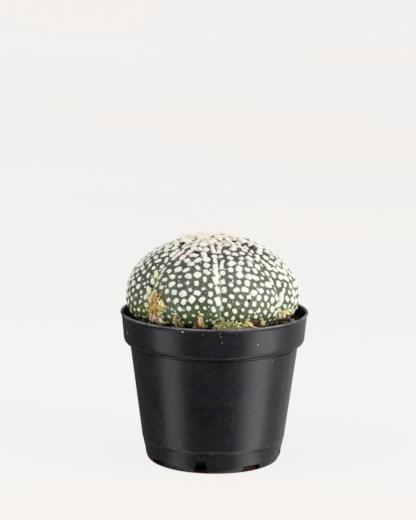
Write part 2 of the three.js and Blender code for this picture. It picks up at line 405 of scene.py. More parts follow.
@dataclass(frozen=True)
class CactusSkin:
    """Grey-green skin with white felt flecks.

    The mesh says where the felt is ("felt", 0.5 at its edge), how bright and how old each fleck is
    ("shade" and "age"), and how near a groove is ("groove"). Each pit is (azimuth, height in mm).
    """

    grey_green: Colour = (0.064, 0.080, 0.050)
    dark: Colour = (0.032, 0.040, 0.027)
    crown: Colour = (0.050, 0.036, 0.030)
    # a lighter grey for the lit right flank: painted sheen
    sheen_grey: Colour = (0.165, 0.165, 0.135)
    fresh: Colour = (0.052, 0.082, 0.012)
    cork: Colour = (0.26, 0.17, 0.05)
    line: Colour = (0.52, 0.57, 0.27)
    dots: Colour = (0.42, 0.46, 0.38)
    white: Colour = (0.755, 0.785, 0.66)
    cool: Colour = (0.67, 0.735, 0.69)
    blush: Colour = (0.80, 0.72, 0.67)
    old: Colour = (0.74, 0.68, 0.30)
    shadow: Colour = (0.42, 0.43, 0.34)
    pit: Colour = (0.008, 0.007, 0.005)
    sheen_side: Span = (-6 * MM, 20 * MM)
    fresh_foot: Span = (90 * MM, 78 * MM)
    brown_crown: Span = (98 * MM, 106 * MM)
    cork_foot: Span = (77 * MM, 73 * MM)
    pale_grooves: Span = (100 * MM, 92 * MM)
    clean_flank: Span = (74 * MM, 82 * MM)
    blushing: Span = (97 * MM, 106 * MM)
    pits: tuple[Span, ...] = ((24.4, 85.9), (-47.6, 90.2))
    pit_radius: float = 0.90 * MM

    def skin(self, g: Finish, height: Signal, speckle: Signal) -> Signal:
        """The colour of the bare skin.

        Args:
            g: The graph that is being built.
            height: The height above the floor.
            speckle: Fine noise.

        Returns:
            The colour.
        """
        patch = g.noise(9 * MM, 3.0)
        body = g.mix(patch.above(0.35, 0.65) * 0.5, self.grey_green, self.dark)
        # painted sheen: the right flank, where the light falls, is painted greyer and lighter in patches
        side = g.place.part(0)
        body = g.mix(side.above(*self.sheen_side) * patch.above(0.30, 0.58) * 0.62, body, self.sheen_grey)
        body = g.mix(height.above(*self.fresh_foot) * (0.52 + patch * 0.7), body, self.fresh)
        body = g.mix(height.above(*self.brown_crown) * 0.75, body, self.crown)
        foot = (height + patch * 5 * MM).above(*self.cork_foot)
        body = g.mix(foot * speckle.above(0.46, 0.60) * 0.8, body, self.cork)
        lower = height.above(*self.pale_grooves)
        body = g.mix(g.attribute("groove").above(0.40, 0.85) * (0.10 + lower * 0.75), body, self.line)
        away, pick = g.specks(1.25 * MM, 4.0)
        dots = away.above(0.24, 0.12) * pick.above(0.52, 0.56)
        clean = height.above(*self.clean_flank)
        body = g.mix(dots * 0.7 * clean, body, self.dots)
        body = g.mix(speckle.above(0.52, 0.34) * (0.06 + clean * 0.14), body, self.dots)
        return g.mix(speckle.above(0.54, 0.70) * 0.5, body, self.dark)

    def felt(self, g: Finish, height: Signal, fuzz: Signal) -> Signal:
        """The colour of the felt.

        Args:
            g: The graph that is being built.
            height: The height above the floor.
            fuzz: Fine noise.

        Returns:
            The colour.
        """
        patch = g.noise(12 * MM, 2.0, shift=2.0)
        shade = g.attribute("shade")
        felt = g.mix(shade.above(0.55, 1.0) * 0.8, self.white, self.cool)
        pink = height.above(*self.blushing) * patch.above(0.34, 0.62) * (1.1 - shade * 0.6)
        felt = g.mix(pink, felt, self.blush)
        felt = g.mix(g.attribute("age") * 0.9, felt, self.old)
        return g.mix(fuzz.above(0.44, 0.28) * 0.5, felt, self.shadow)

    def material(self) -> bpy.types.Material:
        """Builds the finish.

        Returns:
            The material.
        """
        g = Finish("cactus_skin")
        height = g.place.part(2)
        speckle = g.noise(0.9 * MM, 4.0, shift=5.0)
        fuzz = g.noise(0.40 * MM, 5.0, shift=4.0)
        rag = g.noise(0.55 * MM, 4.0, shift=11.0)
        grain = g.noise(0.2 * MM, 2.0, shift=6.0)
        fleck = (g.attribute("felt") + (rag - 0.5) * 0.7).above(0.30, 0.70)
        colour = g.mix(fleck, self.skin(g, height, speckle), self.felt(g, height, fuzz))
        form = BodyForm()
        for azimuth, level in self.pits:
            place = form.point(np.float64(azimuth), np.float64(form.latitude(level * MM)))
            colour = g.mix(g.near(Vector(place), self.pit_radius), colour, self.pit)
        g.set(Base_Color=colour, Roughness=0.36 + speckle * 0.14 + fleck * 0.45, IOR=1.40)
        g.relief(speckle * 0.35 + fleck * (0.7 + fuzz * 1.1) + grain * 0.3, 0.16 * MM)
        return g.material


class Wool(Enum):
    """The two tints of areole wool and the dark of old thorn scars: (name, light, warm, dark)."""

    FLANK = ("flank_wool", (0.74, 0.77, 0.69), (0.71, 0.75, 0.73), (0.46, 0.48, 0.43))
    CROWN = ("crown_wool", (0.88, 0.84, 0.72), (0.84, 0.75, 0.71), (0.50, 0.42, 0.33))
    SCAR = ("areole_scars", (0.040, 0.022, 0.012), (0.060, 0.032, 0.016), (0.014, 0.008, 0.005))

    def material(self) -> bpy.types.Material:
        """Builds the finish.

        Returns:
            The material.
        """
        name, light, warm, dark = self.value
        g = Finish(name)
        fuzz = g.noise(0.7 * MM, 5.0, shift=1.5)
        tone = g.mix(g.noise(7 * MM, 2.0, shift=5.0).above(0.42, 0.58), light, warm)
        g.set(Base_Color=g.mix(fuzz.above(0.30, 0.50), dark, tone), Roughness=0.95, IOR=1.3)
        g.relief(fuzz + g.noise(0.15 * MM, 2.0, shift=3.5) * 0.5, 0.15 * MM)
        return g.material


@dataclass(frozen=True)
class DryFibre:
    """Withered plant tissue in three tones, from its shadows to its lit tips."""

    name: str
    low: Colour
    middle: Colour
    high: Colour

    def material(self) -> bpy.types.Material:
        """Builds the finish.

        Returns:
            The material.
        """
        g = Finish(self.name)
        streak = g.noise(0.9 * MM, 4.0)
        patch = g.noise(3.4 * MM, 2.0, shift=4.0)
        stops = [(0.36, self.low), (0.47, self.middle), (0.60, self.high)]
        g.set(Base_Color=g.ramp(streak * 0.6 + patch * 0.4, stops), Roughness=0.70 + streak * 0.15, IOR=1.4)
        g.relief(streak + g.noise(0.25 * MM, 2.0, shift=8.0) * 0.5, 0.12 * MM)
        return g.material


@dataclass(frozen=True)
class Soil:
    """Peaty mix in a dark tone and a browner one; for the bed and its loose grains it is dark peat painted
    darker still, painted shade of the gap.
    """

    name: str
    dark: Colour
    light: Colour

    def material(self) -> bpy.types.Material:
        """Builds the finish.

        Returns:
            The material.
        """
        g = Finish(self.name)
        grain = g.noise(0.8 * MM, 6.0)
        patch = g.noise(4 * MM, 2.0, shift=3.0)
        tone = g.mix((grain * 0.7 + patch * 0.3).above(0.42, 0.66), self.dark, self.light)
        g.set(Base_Color=tone, Roughness=0.9, IOR=1.35)
        g.relief(grain, 0.5 * MM)
        return g.material


@dataclass(frozen=True)
class Backdrop:
    """Evenly lit pale paint of the floor, which takes only a breath of shadow."""

    glow: Colour = (0.885, 0.880, 0.872)
    far: Colour = (0.900, 0.868, 0.845)
    catch: Colour = (0.06, 0.06, 0.06)
    strength: float = 0.955

    def material(self) -> bpy.types.Material:
        """Builds the finish.

        Returns:
            The material.
        """
        g = Finish("floor_paint")
        tone = g.mix(g.noise(900 * MM, 2.0).above(0.40, 0.62), self.glow, self.far)
        g.set(Base_Color=self.catch, Roughness=1.0, Specular_IOR_Level=0.0,
              Emission_Color=tone, Emission_Strength=self.strength)
        return g.material



# ---- the bench ----


@dataclass(frozen=True)
class Ring:
    """One ring of a turned shape."""

    radius: float
    height: float


def arc(start: Ring, corner: Ring, end: Ring, steps: int) -> list[Ring]:
    """Rings along a quadratic curve.

    Args:
        start: The first ring.
        corner: The ring that the curve bends towards.
        end: The last ring.
        steps: How many stretches the curve has.

    Returns:
        The rings, both ends included.
    """
    rings = []
    for step in range(steps + 1):
        t = step / steps
        a, b, c = (1 - t) ** 2, 2 * t * (1 - t), t * t
        rings.append(Ring(a * start.radius + b * corner.radius + c * end.radius,
                          a * start.height + b * corner.height + c * end.height))
    return rings


def spot(azimuth: float, radius: float, height: float) -> Vector:
    """The point at an azimuth in degrees, a radius and a height."""
    angle = math.radians(azimuth)
    return Vector((radius * math.sin(angle), -radius * math.cos(angle), height))


def placed(name: str, data: bpy.types.ID) -> bpy.types.Object:
    """Puts a new object with some data into the scene.

    Args:
        name: The object's name.
        data: Its mesh, curve, light or camera.

    Returns:
        The object.
    """
    thing = bpy.data.objects.new(name, data)
    bpy.context.scene.collection.objects.link(thing)
    return thing


class Workpiece:
    """One mesh on the bench, shaped with Blender's own tools."""

    def __init__(self, thing: bpy.types.Object, name: str) -> None:
        """Takes an object on the bench.

        Args:
            thing: The object.
            name: The name that it and its mesh get.
        """
        self.thing = thing
        thing.name = name
        thing.data.name = name

    @staticmethod
    def clear() -> None:
        """Leaves edit mode and deselects everything."""
        if bpy.context.object is not None and bpy.context.object.mode != "OBJECT":
            bpy.ops.object.mode_set(mode="OBJECT")
        bpy.ops.object.select_all(action="DESELECT")

    @classmethod
    def started(cls, name: str, primitive: Callable[..., Any], **settings: Any) -> "Workpiece":
        """Starts a piece from a primitive, whose place and size go into its mesh.

        Args:
            name: The piece's name.
            primitive: The operator that adds the primitive.
            settings: The operator's settings.

        Returns:
            The piece.
        """
        cls.clear()
        primitive(**settings)
        bpy.ops.object.transform_apply(location=True, rotation=True, scale=True)
        return cls(bpy.context.object, name)

    @classmethod
    def disc(cls, name: str, ring: Ring, sides: int) -> "Workpiece":
        """Starts a piece from a flat disc."""
        return cls.started(name, bpy.ops.mesh.primitive_circle_add, vertices=sides, radius=ring.radius,
                           fill_type="NGON", location=(0, 0, ring.height))

    @classmethod
    def nugget(cls, name: str, fineness: int, shift: float, *layers: Span) -> "Workpiece":
        """Starts a piece from a lumpy ball, about a millimetre in radius.

        Args:
            name: The piece's name.
            fineness: How often the ball's faces are divided.
            shift: Where the ball lies while it gets its lumps, so that no two are alike.
            layers: The size and the amount of each layer of lumps.

        Returns:
            The piece.
        """
        ball = cls.started(name, bpy.ops.mesh.primitive_ico_sphere_add, subdivisions=fineness,
                           radius=1 * MM)
        ball.turned(Matrix.Translation((shift, 0, 0)))
        for size, amount in layers:
            ball.roughen(size, amount)
        return ball.turned(Matrix.Translation((-shift, 0, 0)))

    @classmethod
    def joined(cls, name: str, pieces: Sequence["Workpiece"]) -> "Workpiece":
        """Joins pieces into the first of them.

        Args:
            name: The name of the whole.
            pieces: The pieces.

        Returns:
            The whole.
        """
        cls.clear()
        for piece in pieces:
            piece.thing.select_set(True)
        bpy.context.view_layer.objects.active = pieces[0].thing
        bpy.ops.object.join()
        return cls(pieces[0].thing, name)

    def copy(self, name: str) -> "Workpiece":
        """Copies the piece.

        Args:
            name: The copy's name.

        Returns:
            The copy, with a mesh of its own.
        """
        twin = self.thing.copy()
        twin.data = self.thing.data.copy()
        bpy.context.scene.collection.objects.link(twin)
        return Workpiece(twin, name)

    def pick(self) -> None:
        """Makes this the only selected, active object."""
        self.clear()
        self.thing.select_set(True)
        bpy.context.view_layer.objects.active = self.thing

    def edit(self, *steps: Callable[[], Any], edges: bool = False) -> "Workpiece":
        """Runs steps in edit mode on what is selected of the mesh.

        Args:
            steps: The steps.
            edges: Selects by edges, and not by faces.

        Returns:
            This piece.
        """
        self.pick()
        bpy.context.tool_settings.mesh_select_mode = (False, edges, not edges)
        bpy.ops.object.mode_set(mode="EDIT")
        for step in steps:
            step()
        bpy.ops.object.mode_set(mode="OBJECT")
        return self

    def modify(self, kind: str, **settings: Any) -> "Workpiece":
        """Adds a modifier and applies it.

        Args:
            kind: The modifier's type.
            settings: Its properties.

        Returns:
            This piece.
        """
        self.pick()
        bpy.ops.object.modifier_add(type=kind)
        modifier = self.thing.modifiers[-1]
        for key, value in settings.items():
            setattr(modifier, key, value)
        bpy.ops.object.modifier_apply(modifier=modifier.name)
        return self

    def loft(self, start: Ring, rings: Sequence[Ring]) -> "Workpiece":
        """Extrudes a disc through rings.

        Args:
            start: The disc as it is.
            rings: The rings; the disc ends as the last one's cap.

        Returns:
            This piece.
        """
        self.pick()
        bpy.ops.object.mode_set(mode="EDIT")
        bpy.ops.mesh.select_all(action="SELECT")
        last = start
        for ring in rings:
            share = ring.radius / last.radius
            rise = ring.height - last.height
            bpy.ops.mesh.extrude_region_move(TRANSFORM_OT_translate={"value": (0, 0, rise)})
            bpy.ops.transform.resize(value=(share, share, 1), center_override=(0, 0, ring.height))
            last = ring
        bpy.ops.mesh.select_all(action="SELECT")
        bpy.ops.mesh.normals_make_consistent(inside=False)
        bpy.ops.object.mode_set(mode="OBJECT")
        return self

    def choose(self, faces: Sequence[bool], edges: Optional[Sequence[bool]] = None) -> "Workpiece":
        """Selects some faces or edges, and nothing else.

        Args:
            faces: Whether each face is wanted.
            edges: Whether each edge is wanted, if any is.

        Returns:
            This piece.
        """
        mesh = self.thing.data
        mesh.vertices.foreach_set("select", np.zeros(len(mesh.vertices), bool))
        mesh.edges.foreach_set("select", np.zeros(len(mesh.edges), bool) if edges is None else edges)
        mesh.polygons.foreach_set("select", faces)
        mesh.update()
        return self

    def places(self) -> np.ndarray:
        """Reads the points of the mesh.

        Returns:
            The points, one row each.
        """
        found = np.zeros(len(self.thing.data.vertices) * 3)
        self.thing.data.vertices.foreach_get("co", found)
        return found.reshape(-1, 3)

    def normals(self) -> np.ndarray:
        """Reads the direction out of the surface at each point.

        Returns:
            The directions, one row each.
        """
        found = np.zeros(len(self.thing.data.vertices) * 3)
        self.thing.data.vertex_normals.foreach_get("vector", found)
        return found.reshape(-1, 3)

    def put(self, places: np.ndarray) -> "Workpiece":
        """Moves the points of the mesh.

        Args:
            places: Where each point goes, one row each.

        Returns:
            This piece.
        """
        self.thing.data.vertices.foreach_set("co", places.ravel())
        self.thing.data.update()
        return self

    def note(self, name: str, values: np.ndarray) -> "Workpiece":
        """Stores a value for each point, for the material to read."""
        self.thing.data.attributes.new(name, "FLOAT", "POINT").data.foreach_set("value", values)
        return self

    def roughen(self, size: float, amount: float) -> "Workpiece":
        """Displaces the surface along its normals by cloudy noise.

        Args:
            size: The size of the lumps, in metres.
            amount: How far the highest lumps stand above the lowest.

        Returns:
            This piece.
        """
        clouds = bpy.data.textures.new(self.thing.name + "_lumps", "CLOUDS")
        clouds.noise_scale = size
        clouds.noise_depth = 2
        return self.modify("DISPLACE", texture=clouds, texture_coords="LOCAL", strength=amount,
                           mid_level=0.5, direction="NORMAL")

    def turned(self, matrix: Matrix) -> "Workpiece":
        """Moves the mesh by a matrix; the object stays at the origin."""
        self.thing.data.transform(matrix)
        return self

    def dress(self, material: bpy.types.Material) -> "Workpiece":
        """Gives the piece its material.

        Args:
            material: The material.

        Returns:
            This piece.
        """
        self.thing.data.materials.clear()
        self.thing.data.materials.append(material)
        return self

    def smooth(self, angle: float) -> "Workpiece":
        """Shades the piece smooth.

        Args:
            angle: How sharp an edge may be, in degrees, before it stays sharp.

        Returns:
            This piece.
        """
        self.pick()
        bpy.ops.object.shade_smooth_by_angle(angle=math.radians(angle))
        return self

    def scrap(self) -> None:
        """Removes the piece."""
        bpy.data.objects.remove(self.thing)

    def hand_over(self, slot: str, *nodes: str) -> None:
        """Puts the finished piece on the frame.

        Args:
            slot: Not used.
            nodes: The frame's nodes that it stands for.
        """
        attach(self.thing, "root")
        if nodes:
            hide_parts(*nodes)
        log.info("%s: %d faces", self.thing.name, len(self.thing.data.polygons))


# ---- pot ----


@dataclass(frozen=True)
class DrainSlot:
    """The widths of a drain slot at its bottom and top, and the height of its top."""

    foot: float
    top: float
    height: float


@dataclass(frozen=True)
class NurseryPot:
    """The moulded pot: thin lip, rim band, step, tapering wall, foot ring and drain slots."""

    height: float = 73.5 * MM
    band_top_radius: float = 45.0 * MM
    band_foot_radius: float = 44.0 * MM
    band_foot: float = 61.2 * MM
    wall_top: float = 57.9 * MM
    wall_top_radius: float = 40.9 * MM
    crease_depth: float = 0.55 * MM
    ring_height: float = 11.3 * MM
    ring_radius: float = 34.7 * MM
    ring_step: float = 0.3 * MM
    wall_foot: float = 5.0 * MM
    wall_foot_radius: float = 33.2 * MM
    foot_outer_radius: float = 30.2 * MM
    foot_inner_radius: float = 26.2 * MM
    floor_radius: float = 24.0 * MM
    floor_lift: float = 1.5 * MM
    wall: float = 1.15 * MM
    lip: float = 1.6 * MM
    lip_rounding: float = 0.45 * MM
    rounding: float = 0.22 * MM
    sides: int = 192
    slots: int = 8
    first_slot: float = -10.0
    tall_slot: DrainSlot = DrainSlot(7.2 * MM, 4.0 * MM, 7 * MM)
    low_slot: DrainSlot = DrainSlot(10.6 * MM, 9.4 * MM, 3.5 * MM)
    slot_radius: float = 32.5 * MM
    slot_depth: float = 9 * MM
    sill: float = 0.6 * MM

    def wall_radius(self, height: float) -> float:
        """The wall's outside radius at a height."""
        share = (height - self.ring_height) / (self.wall_top - self.ring_height)
        return self.ring_radius + share * (self.wall_top_radius - self.ring_radius)

    def band_radius(self, height: float) -> float:
        """The rim band's outside radius at a height."""
        share = (height - self.band_foot) / (self.height - self.lip - self.band_foot)
        return self.band_foot_radius + share * (self.band_top_radius - self.band_foot_radius)

    def foot(self) -> list[Ring]:
        """The outside of the foot.

        Returns:
            The rings from the floor's underside out to just above the rounded corner.
        """
        corner = arc(Ring(self.foot_outer_radius, 0), Ring(self.wall_foot_radius - 0.3 * MM, 0.2 * MM),
                     Ring(self.wall_foot_radius, self.wall_foot), 7)
        return [
            Ring(self.foot_inner_radius - 1.2 * MM, self.floor_lift),
            Ring(self.foot_inner_radius - 0.2 * MM, 0.2 * MM),
            Ring(self.foot_inner_radius + 0.2 * MM, 0),
            *corner,
            Ring(self.wall_foot_radius + 0.27 * MM, self.wall_foot + 1.5 * MM),
        ]

    def flank(self) -> list[Ring]:
        """The outside of the wall.

        Returns:
            The rings from just below the raised line up to the crease under the rim band.
        """
        levels = [self.ring_height + 0.5 * MM, self.ring_height + 2 * MM, 24 * MM, 36 * MM, 48 * MM,
                  self.wall_top - 2.9 * MM, self.wall_top - 1.3 * MM, self.wall_top - 1.0 * MM]
        crease = self.wall_top_radius - self.crease_depth
        return [
            Ring(self.ring_radius - self.ring_step - 0.25 * MM, self.ring_height - 2.2 * MM),
            Ring(self.ring_radius - self.ring_step, self.ring_height - 0.35 * MM),
            Ring(self.ring_radius, self.ring_height),
            *[Ring(self.wall_radius(height), height) for height in levels],
            Ring(crease, self.wall_top - 0.7 * MM),
            Ring(crease, self.wall_top - 0.15 * MM),
        ]

    def band(self, rim: Ring) -> list[Ring]:
        """The outside of the rim band and the rounded lip.

        Args:
            rim: The lip's outside, at its top.

        Returns:
            The rings from the step up to the top of the lip.
        """
        step = arc(Ring(self.wall_top_radius, self.wall_top),
                   Ring(self.band_foot_radius - 0.2 * MM, self.wall_top + 0.1 * MM),
                   Ring(self.band_foot_radius, self.band_foot), 7)
        levels = [self.band_foot + 0.8 * MM, 66 * MM, self.height - self.lip - 0.8 * MM]
        edge = Ring(rim.radius, rim.height - self.lip_rounding)
        lip = arc(Ring(self.band_top_radius, rim.height - self.lip),
                  Ring(rim.radius, rim.height - 2 * self.lip_rounding), edge, 4)
        crown = arc(edge, rim, Ring(rim.radius - 0.5 * MM, rim.height), 4)
        return [*step, *[Ring(self.band_radius(height), height) for height in levels], *lip, *crown]

    def inside(self, rim: Ring) -> list[Ring]:
        """The inside of the pot.

        Args:
            rim: The lip's outside, at its top.

        Returns:
            The rings from the lip's inner edge down to the floor.
        """
        skin = self.wall
        edge = rim.radius - skin - 0.1 * MM
        return [
            *arc(Ring(rim.radius - 0.8 * MM, rim.height), Ring(edge, rim.height),
                 Ring(edge, rim.height - 0.5 * MM), 3),
            Ring(self.band_top_radius - skin, rim.height - self.lip),
            Ring(self.band_foot_radius - skin, self.band_foot + skin),
            Ring(self.wall_top_radius - skin, self.wall_top),
            Ring(self.wall_radius(30 * MM) - skin, 30 * MM),
            Ring(self.wall_foot_radius - skin, self.wall_foot + skin),
            Ring(self.foot_outer_radius - 0.6 * MM, skin),
            Ring(self.foot_inner_radius - 0.4 * MM, skin),
            Ring(self.floor_radius, self.floor_lift + skin),
        ]

    def cutter(self, azimuth: float, slot: DrainSlot) -> Workpiece:
        """A keystone-shaped block that cuts one drain slot.

        Args:
            azimuth: Where the slot is.
            slot: Its size.

        Returns:
            The block.
        """
        block = Workpiece.started("slot_cutter", bpy.ops.mesh.primitive_cube_add, size=1,
                                  location=(0, -self.slot_radius, (slot.height + self.sill) / 2),
                                  scale=(slot.foot, self.slot_depth, slot.height - self.sill))
        block.choose([face.normal.z > 0.9 for face in block.thing.data.polygons])
        block.edit(lambda: bpy.ops.transform.resize(value=(slot.top / slot.foot, 1, 1),
                                                    center_override=(0, -self.slot_radius, slot.height)))
        block.modify("BEVEL", width=0.5 * MM, segments=3)
        return block.turned(Matrix.Rotation(math.radians(azimuth), 4, "Z"))

    def build(self) -> None:
        """Models the pot in place of the frame's node."""
        low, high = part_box("nursery_pot")
        rim = Ring((high.x - low.x) / 2, high.z)
        start = Ring(self.floor_radius, self.floor_lift)
        pot = Workpiece.disc("pot_shell", start, self.sides)
        pot.loft(start, [*self.foot(), *self.flank(), *self.band(rim), *self.inside(rim)])
        cutters = []
        for index in range(self.slots):
            azimuth = self.first_slot + index * 360 / self.slots
            cutters.append(self.cutter(azimuth, self.low_slot if index % 2 else self.tall_slot))
        block = Workpiece.joined("slot_cutters", cutters)
        pot.modify("BOOLEAN", object=block.thing, operation="DIFFERENCE", solver="EXACT")
        block.scrap()
        pot.modify("BEVEL", width=self.rounding, segments=2, limit_method="ANGLE",
                   angle_limit=math.radians(50))
        pot.dress(PotPlastic().material()).smooth(35)
        pot.hand_over("pot_plastic", "nursery_pot")


# ---- cactus ----

NEAR_POLE = 1.57  # a latitude, in radians
FAR_AWAY = 9.0  # in metres, farther than any neighbour


def smooth_step(values: np.ndarray, low: float, high: float) -> np.ndarray:
    """A smooth step from 0 at low to 1 at high."""
    share = np.clip((values - low) / (high - low), 0, 1)
    return share * share * (3 - 2 * share)


@dataclass(frozen=True)
class Ripple:
    """Gentle three-dimensional noise: its height, the distance between two highs, and its seed."""

    amount: float
    length: float
    seed: int
    waves: int = 7

    def at(self, places: np.ndarray) -> np.ndarray:
        """Adds up its waves.

        Args:
            places: Points, one row each.

        Returns:
            Its value at each point, mostly between plus and minus the amount.
        """
        rng = np.random.default_rng(self.seed)
        total = np.zeros(len(places))
        for _ in range(self.waves):
            direction = rng.normal(size=3)
            direction *= 2 * math.pi / self.length * rng.uniform(0.7, 1.4) / np.linalg.norm(direction)
            total += np.sin(places @ direction + rng.uniform(0, 2 * math.pi))
        return self.amount * (total / math.sqrt(self.waves))


@dataclass(frozen=True)
class BodyForm:
    """The outline and ribs of the body, and the map from a unit sphere onto it.

    The map keeps angles, so that a mesh which is even on the sphere stays even on the body. Latitudes
    are in radians, from -pi/2 at the underside to pi/2 at the crown.
    """

    radius: float = 42.5 * MM
    equator: float = 80.4 * MM
    crown_height: float = 28.8 * MM
    base_depth: float = 19.7 * MM
    crown_roundness: float = 2.08
    base_roundness: float = 1.9
    crown_dip: float = 1.4 * MM
    crown_dip_radius: float = 7 * MM
    rib_widths: tuple[float, ...] = (45, 44, 44, 45, 44, 45, 42, 51)
    front_groove: float = 5.7
    bulge: float = 0.030
    crease: float = 0.028
    crease_share: float = 0.20
    middle: float = -1.1 * MM
    samples: int = 1600
    last_latitude: float = 1.5690
    lift: float = 0.3

    @property
    def top(self) -> float:
        """The height of the crown, before it dips."""
        return self.equator + self.crown_height

    def outline(self, latitude: np.ndarray) -> tuple[np.ndarray, np.ndarray]:
        """The outline of the body between its grooves.

        Args:
            latitude: The latitudes.

        Returns:
            The radius and the height at each.
        """
        across, up = np.maximum(np.cos(latitude), 0), np.sin(latitude)
        above = up > 0
        power = 2 / np.where(above, self.crown_roundness, self.base_roundness)
        rise = np.where(above, self.crown_height, self.base_depth)
        radius = self.radius * across**power
        dip = np.where(above, np.maximum(0, 1 - radius / self.crown_dip_radius), 0)
        height = self.equator + np.sign(up) * rise * np.abs(up) ** power
        return radius, height - self.crown_dip * dip * dip * (3 - 2 * dip)

    def tables(self) -> tuple[np.ndarray, np.ndarray]:
        """Works out which latitudes match.

        Returns:
            Latitudes of the body, and those of the sphere that map onto them at equal angles.
        """
        latitudes = np.linspace(-self.last_latitude, self.last_latitude, self.samples)
        radii, heights = self.outline(latitudes)
        steps = np.hypot(np.diff(radii), np.diff(heights)) / ((radii[1:] + radii[:-1]) / 2)
        stretch = np.concatenate([[0.0], np.cumsum(steps)])
        stretch -= np.interp(0.0, latitudes, stretch) + self.lift
        return latitudes, 2 * np.arctan(np.exp(stretch)) - math.pi / 2

    def across_rib(self, azimuth: np.ndarray) -> np.ndarray:
        """Where azimuths lie on their ribs.

        Args:
            azimuth: The azimuths in degrees.

        Returns:
            How far across its rib each lies, from 0 at one groove to 1 at the next.
        """
        edges = np.concatenate([[0.0], np.cumsum(self.rib_widths)])
        turn = (azimuth - self.front_groove) % 360
        rib = np.clip(np.searchsorted(edges, turn, side="right") - 1, 0, len(self.rib_widths) - 1)
        return (turn - edges[rib]) / np.array(self.rib_widths)[rib]

    def grooves(self) -> list[float]:
        """The azimuth of each groove; rib number i starts at groove number i."""
        return [self.front_groove + sum(self.rib_widths[:i]) for i in range(len(self.rib_widths))]

    def from_groove(self, azimuth: np.ndarray) -> np.ndarray:
        """How many degrees to the right of each azimuth the nearest groove is."""
        gaps = (np.array(self.grooves())[None] - np.atleast_1d(azimuth)[:, None] + 180) % 360 - 180
        return gaps[np.arange(len(gaps)), np.abs(gaps).argmin(axis=1)]

    def point(self, azimuth: np.ndarray, latitude: np.ndarray) -> np.ndarray:
        """Points on the ribbed surface.

        Args:
            azimuth: Their azimuths in degrees.
            latitude: Their latitudes.

        Returns:
            The points, along the last axis.
        """
        radius, height = self.outline(latitude)
        from_crest = np.abs(2 * self.across_rib(azimuth) - 1)
        crease = np.maximum(0, from_crest - 1 + self.crease_share) / self.crease_share
        radius = radius * (1 - self.bulge * from_crest**2 - self.crease * crease**2)
        angle = np.radians(azimuth)
        return np.stack([self.middle + radius * np.sin(angle), -radius * np.cos(angle), height], axis=-1)

    def latitude(self, height: float) -> float:
        """Finds a height on the skin.

        Args:
            height: The height.

        Returns:
            The latitude there.
        """
        above = height > self.equator
        rise = self.crown_height if above else self.base_depth
        roundness = self.crown_roundness if above else self.base_roundness
        share = min(1.0, abs(height - self.equator) / rise) ** (roundness / 2)
        return math.copysign(math.asin(share), height - self.equator)

    def normal(self, azimuth: float, latitude: float) -> Vector:
        """The direction out of the unribbed surface.

        Args:
            azimuth: The azimuth in degrees.
            latitude: The latitude.

        Returns:
            The direction, one long.
        """
        step = 0.01
        radii, heights = self.outline(np.array([latitude - step, min(latitude + step, NEAR_POLE)]))
        slope = Vector((heights[1] - heights[0], radii[0] - radii[1])).normalized()
        return spot(azimuth, slope.x, slope.y).normalized()


class Patch(Enum):
    """What kind of felt patch it is."""

    FLECK = 0
    GROOVE = 1
    AREOLE = 2
    GRAIN = 3


@dataclass
class Fleck:
    """One felt patch: its place, its half sizes in metres across and along the rib, and its tint."""

    azimuth: float
    latitude: float
    patch: Patch
    across: float = 0.0
    along: float = 0.0
    twist: float = 0.0
    squareness: float = 3.0
    shade: float = 0.5
    age: float = 0.0


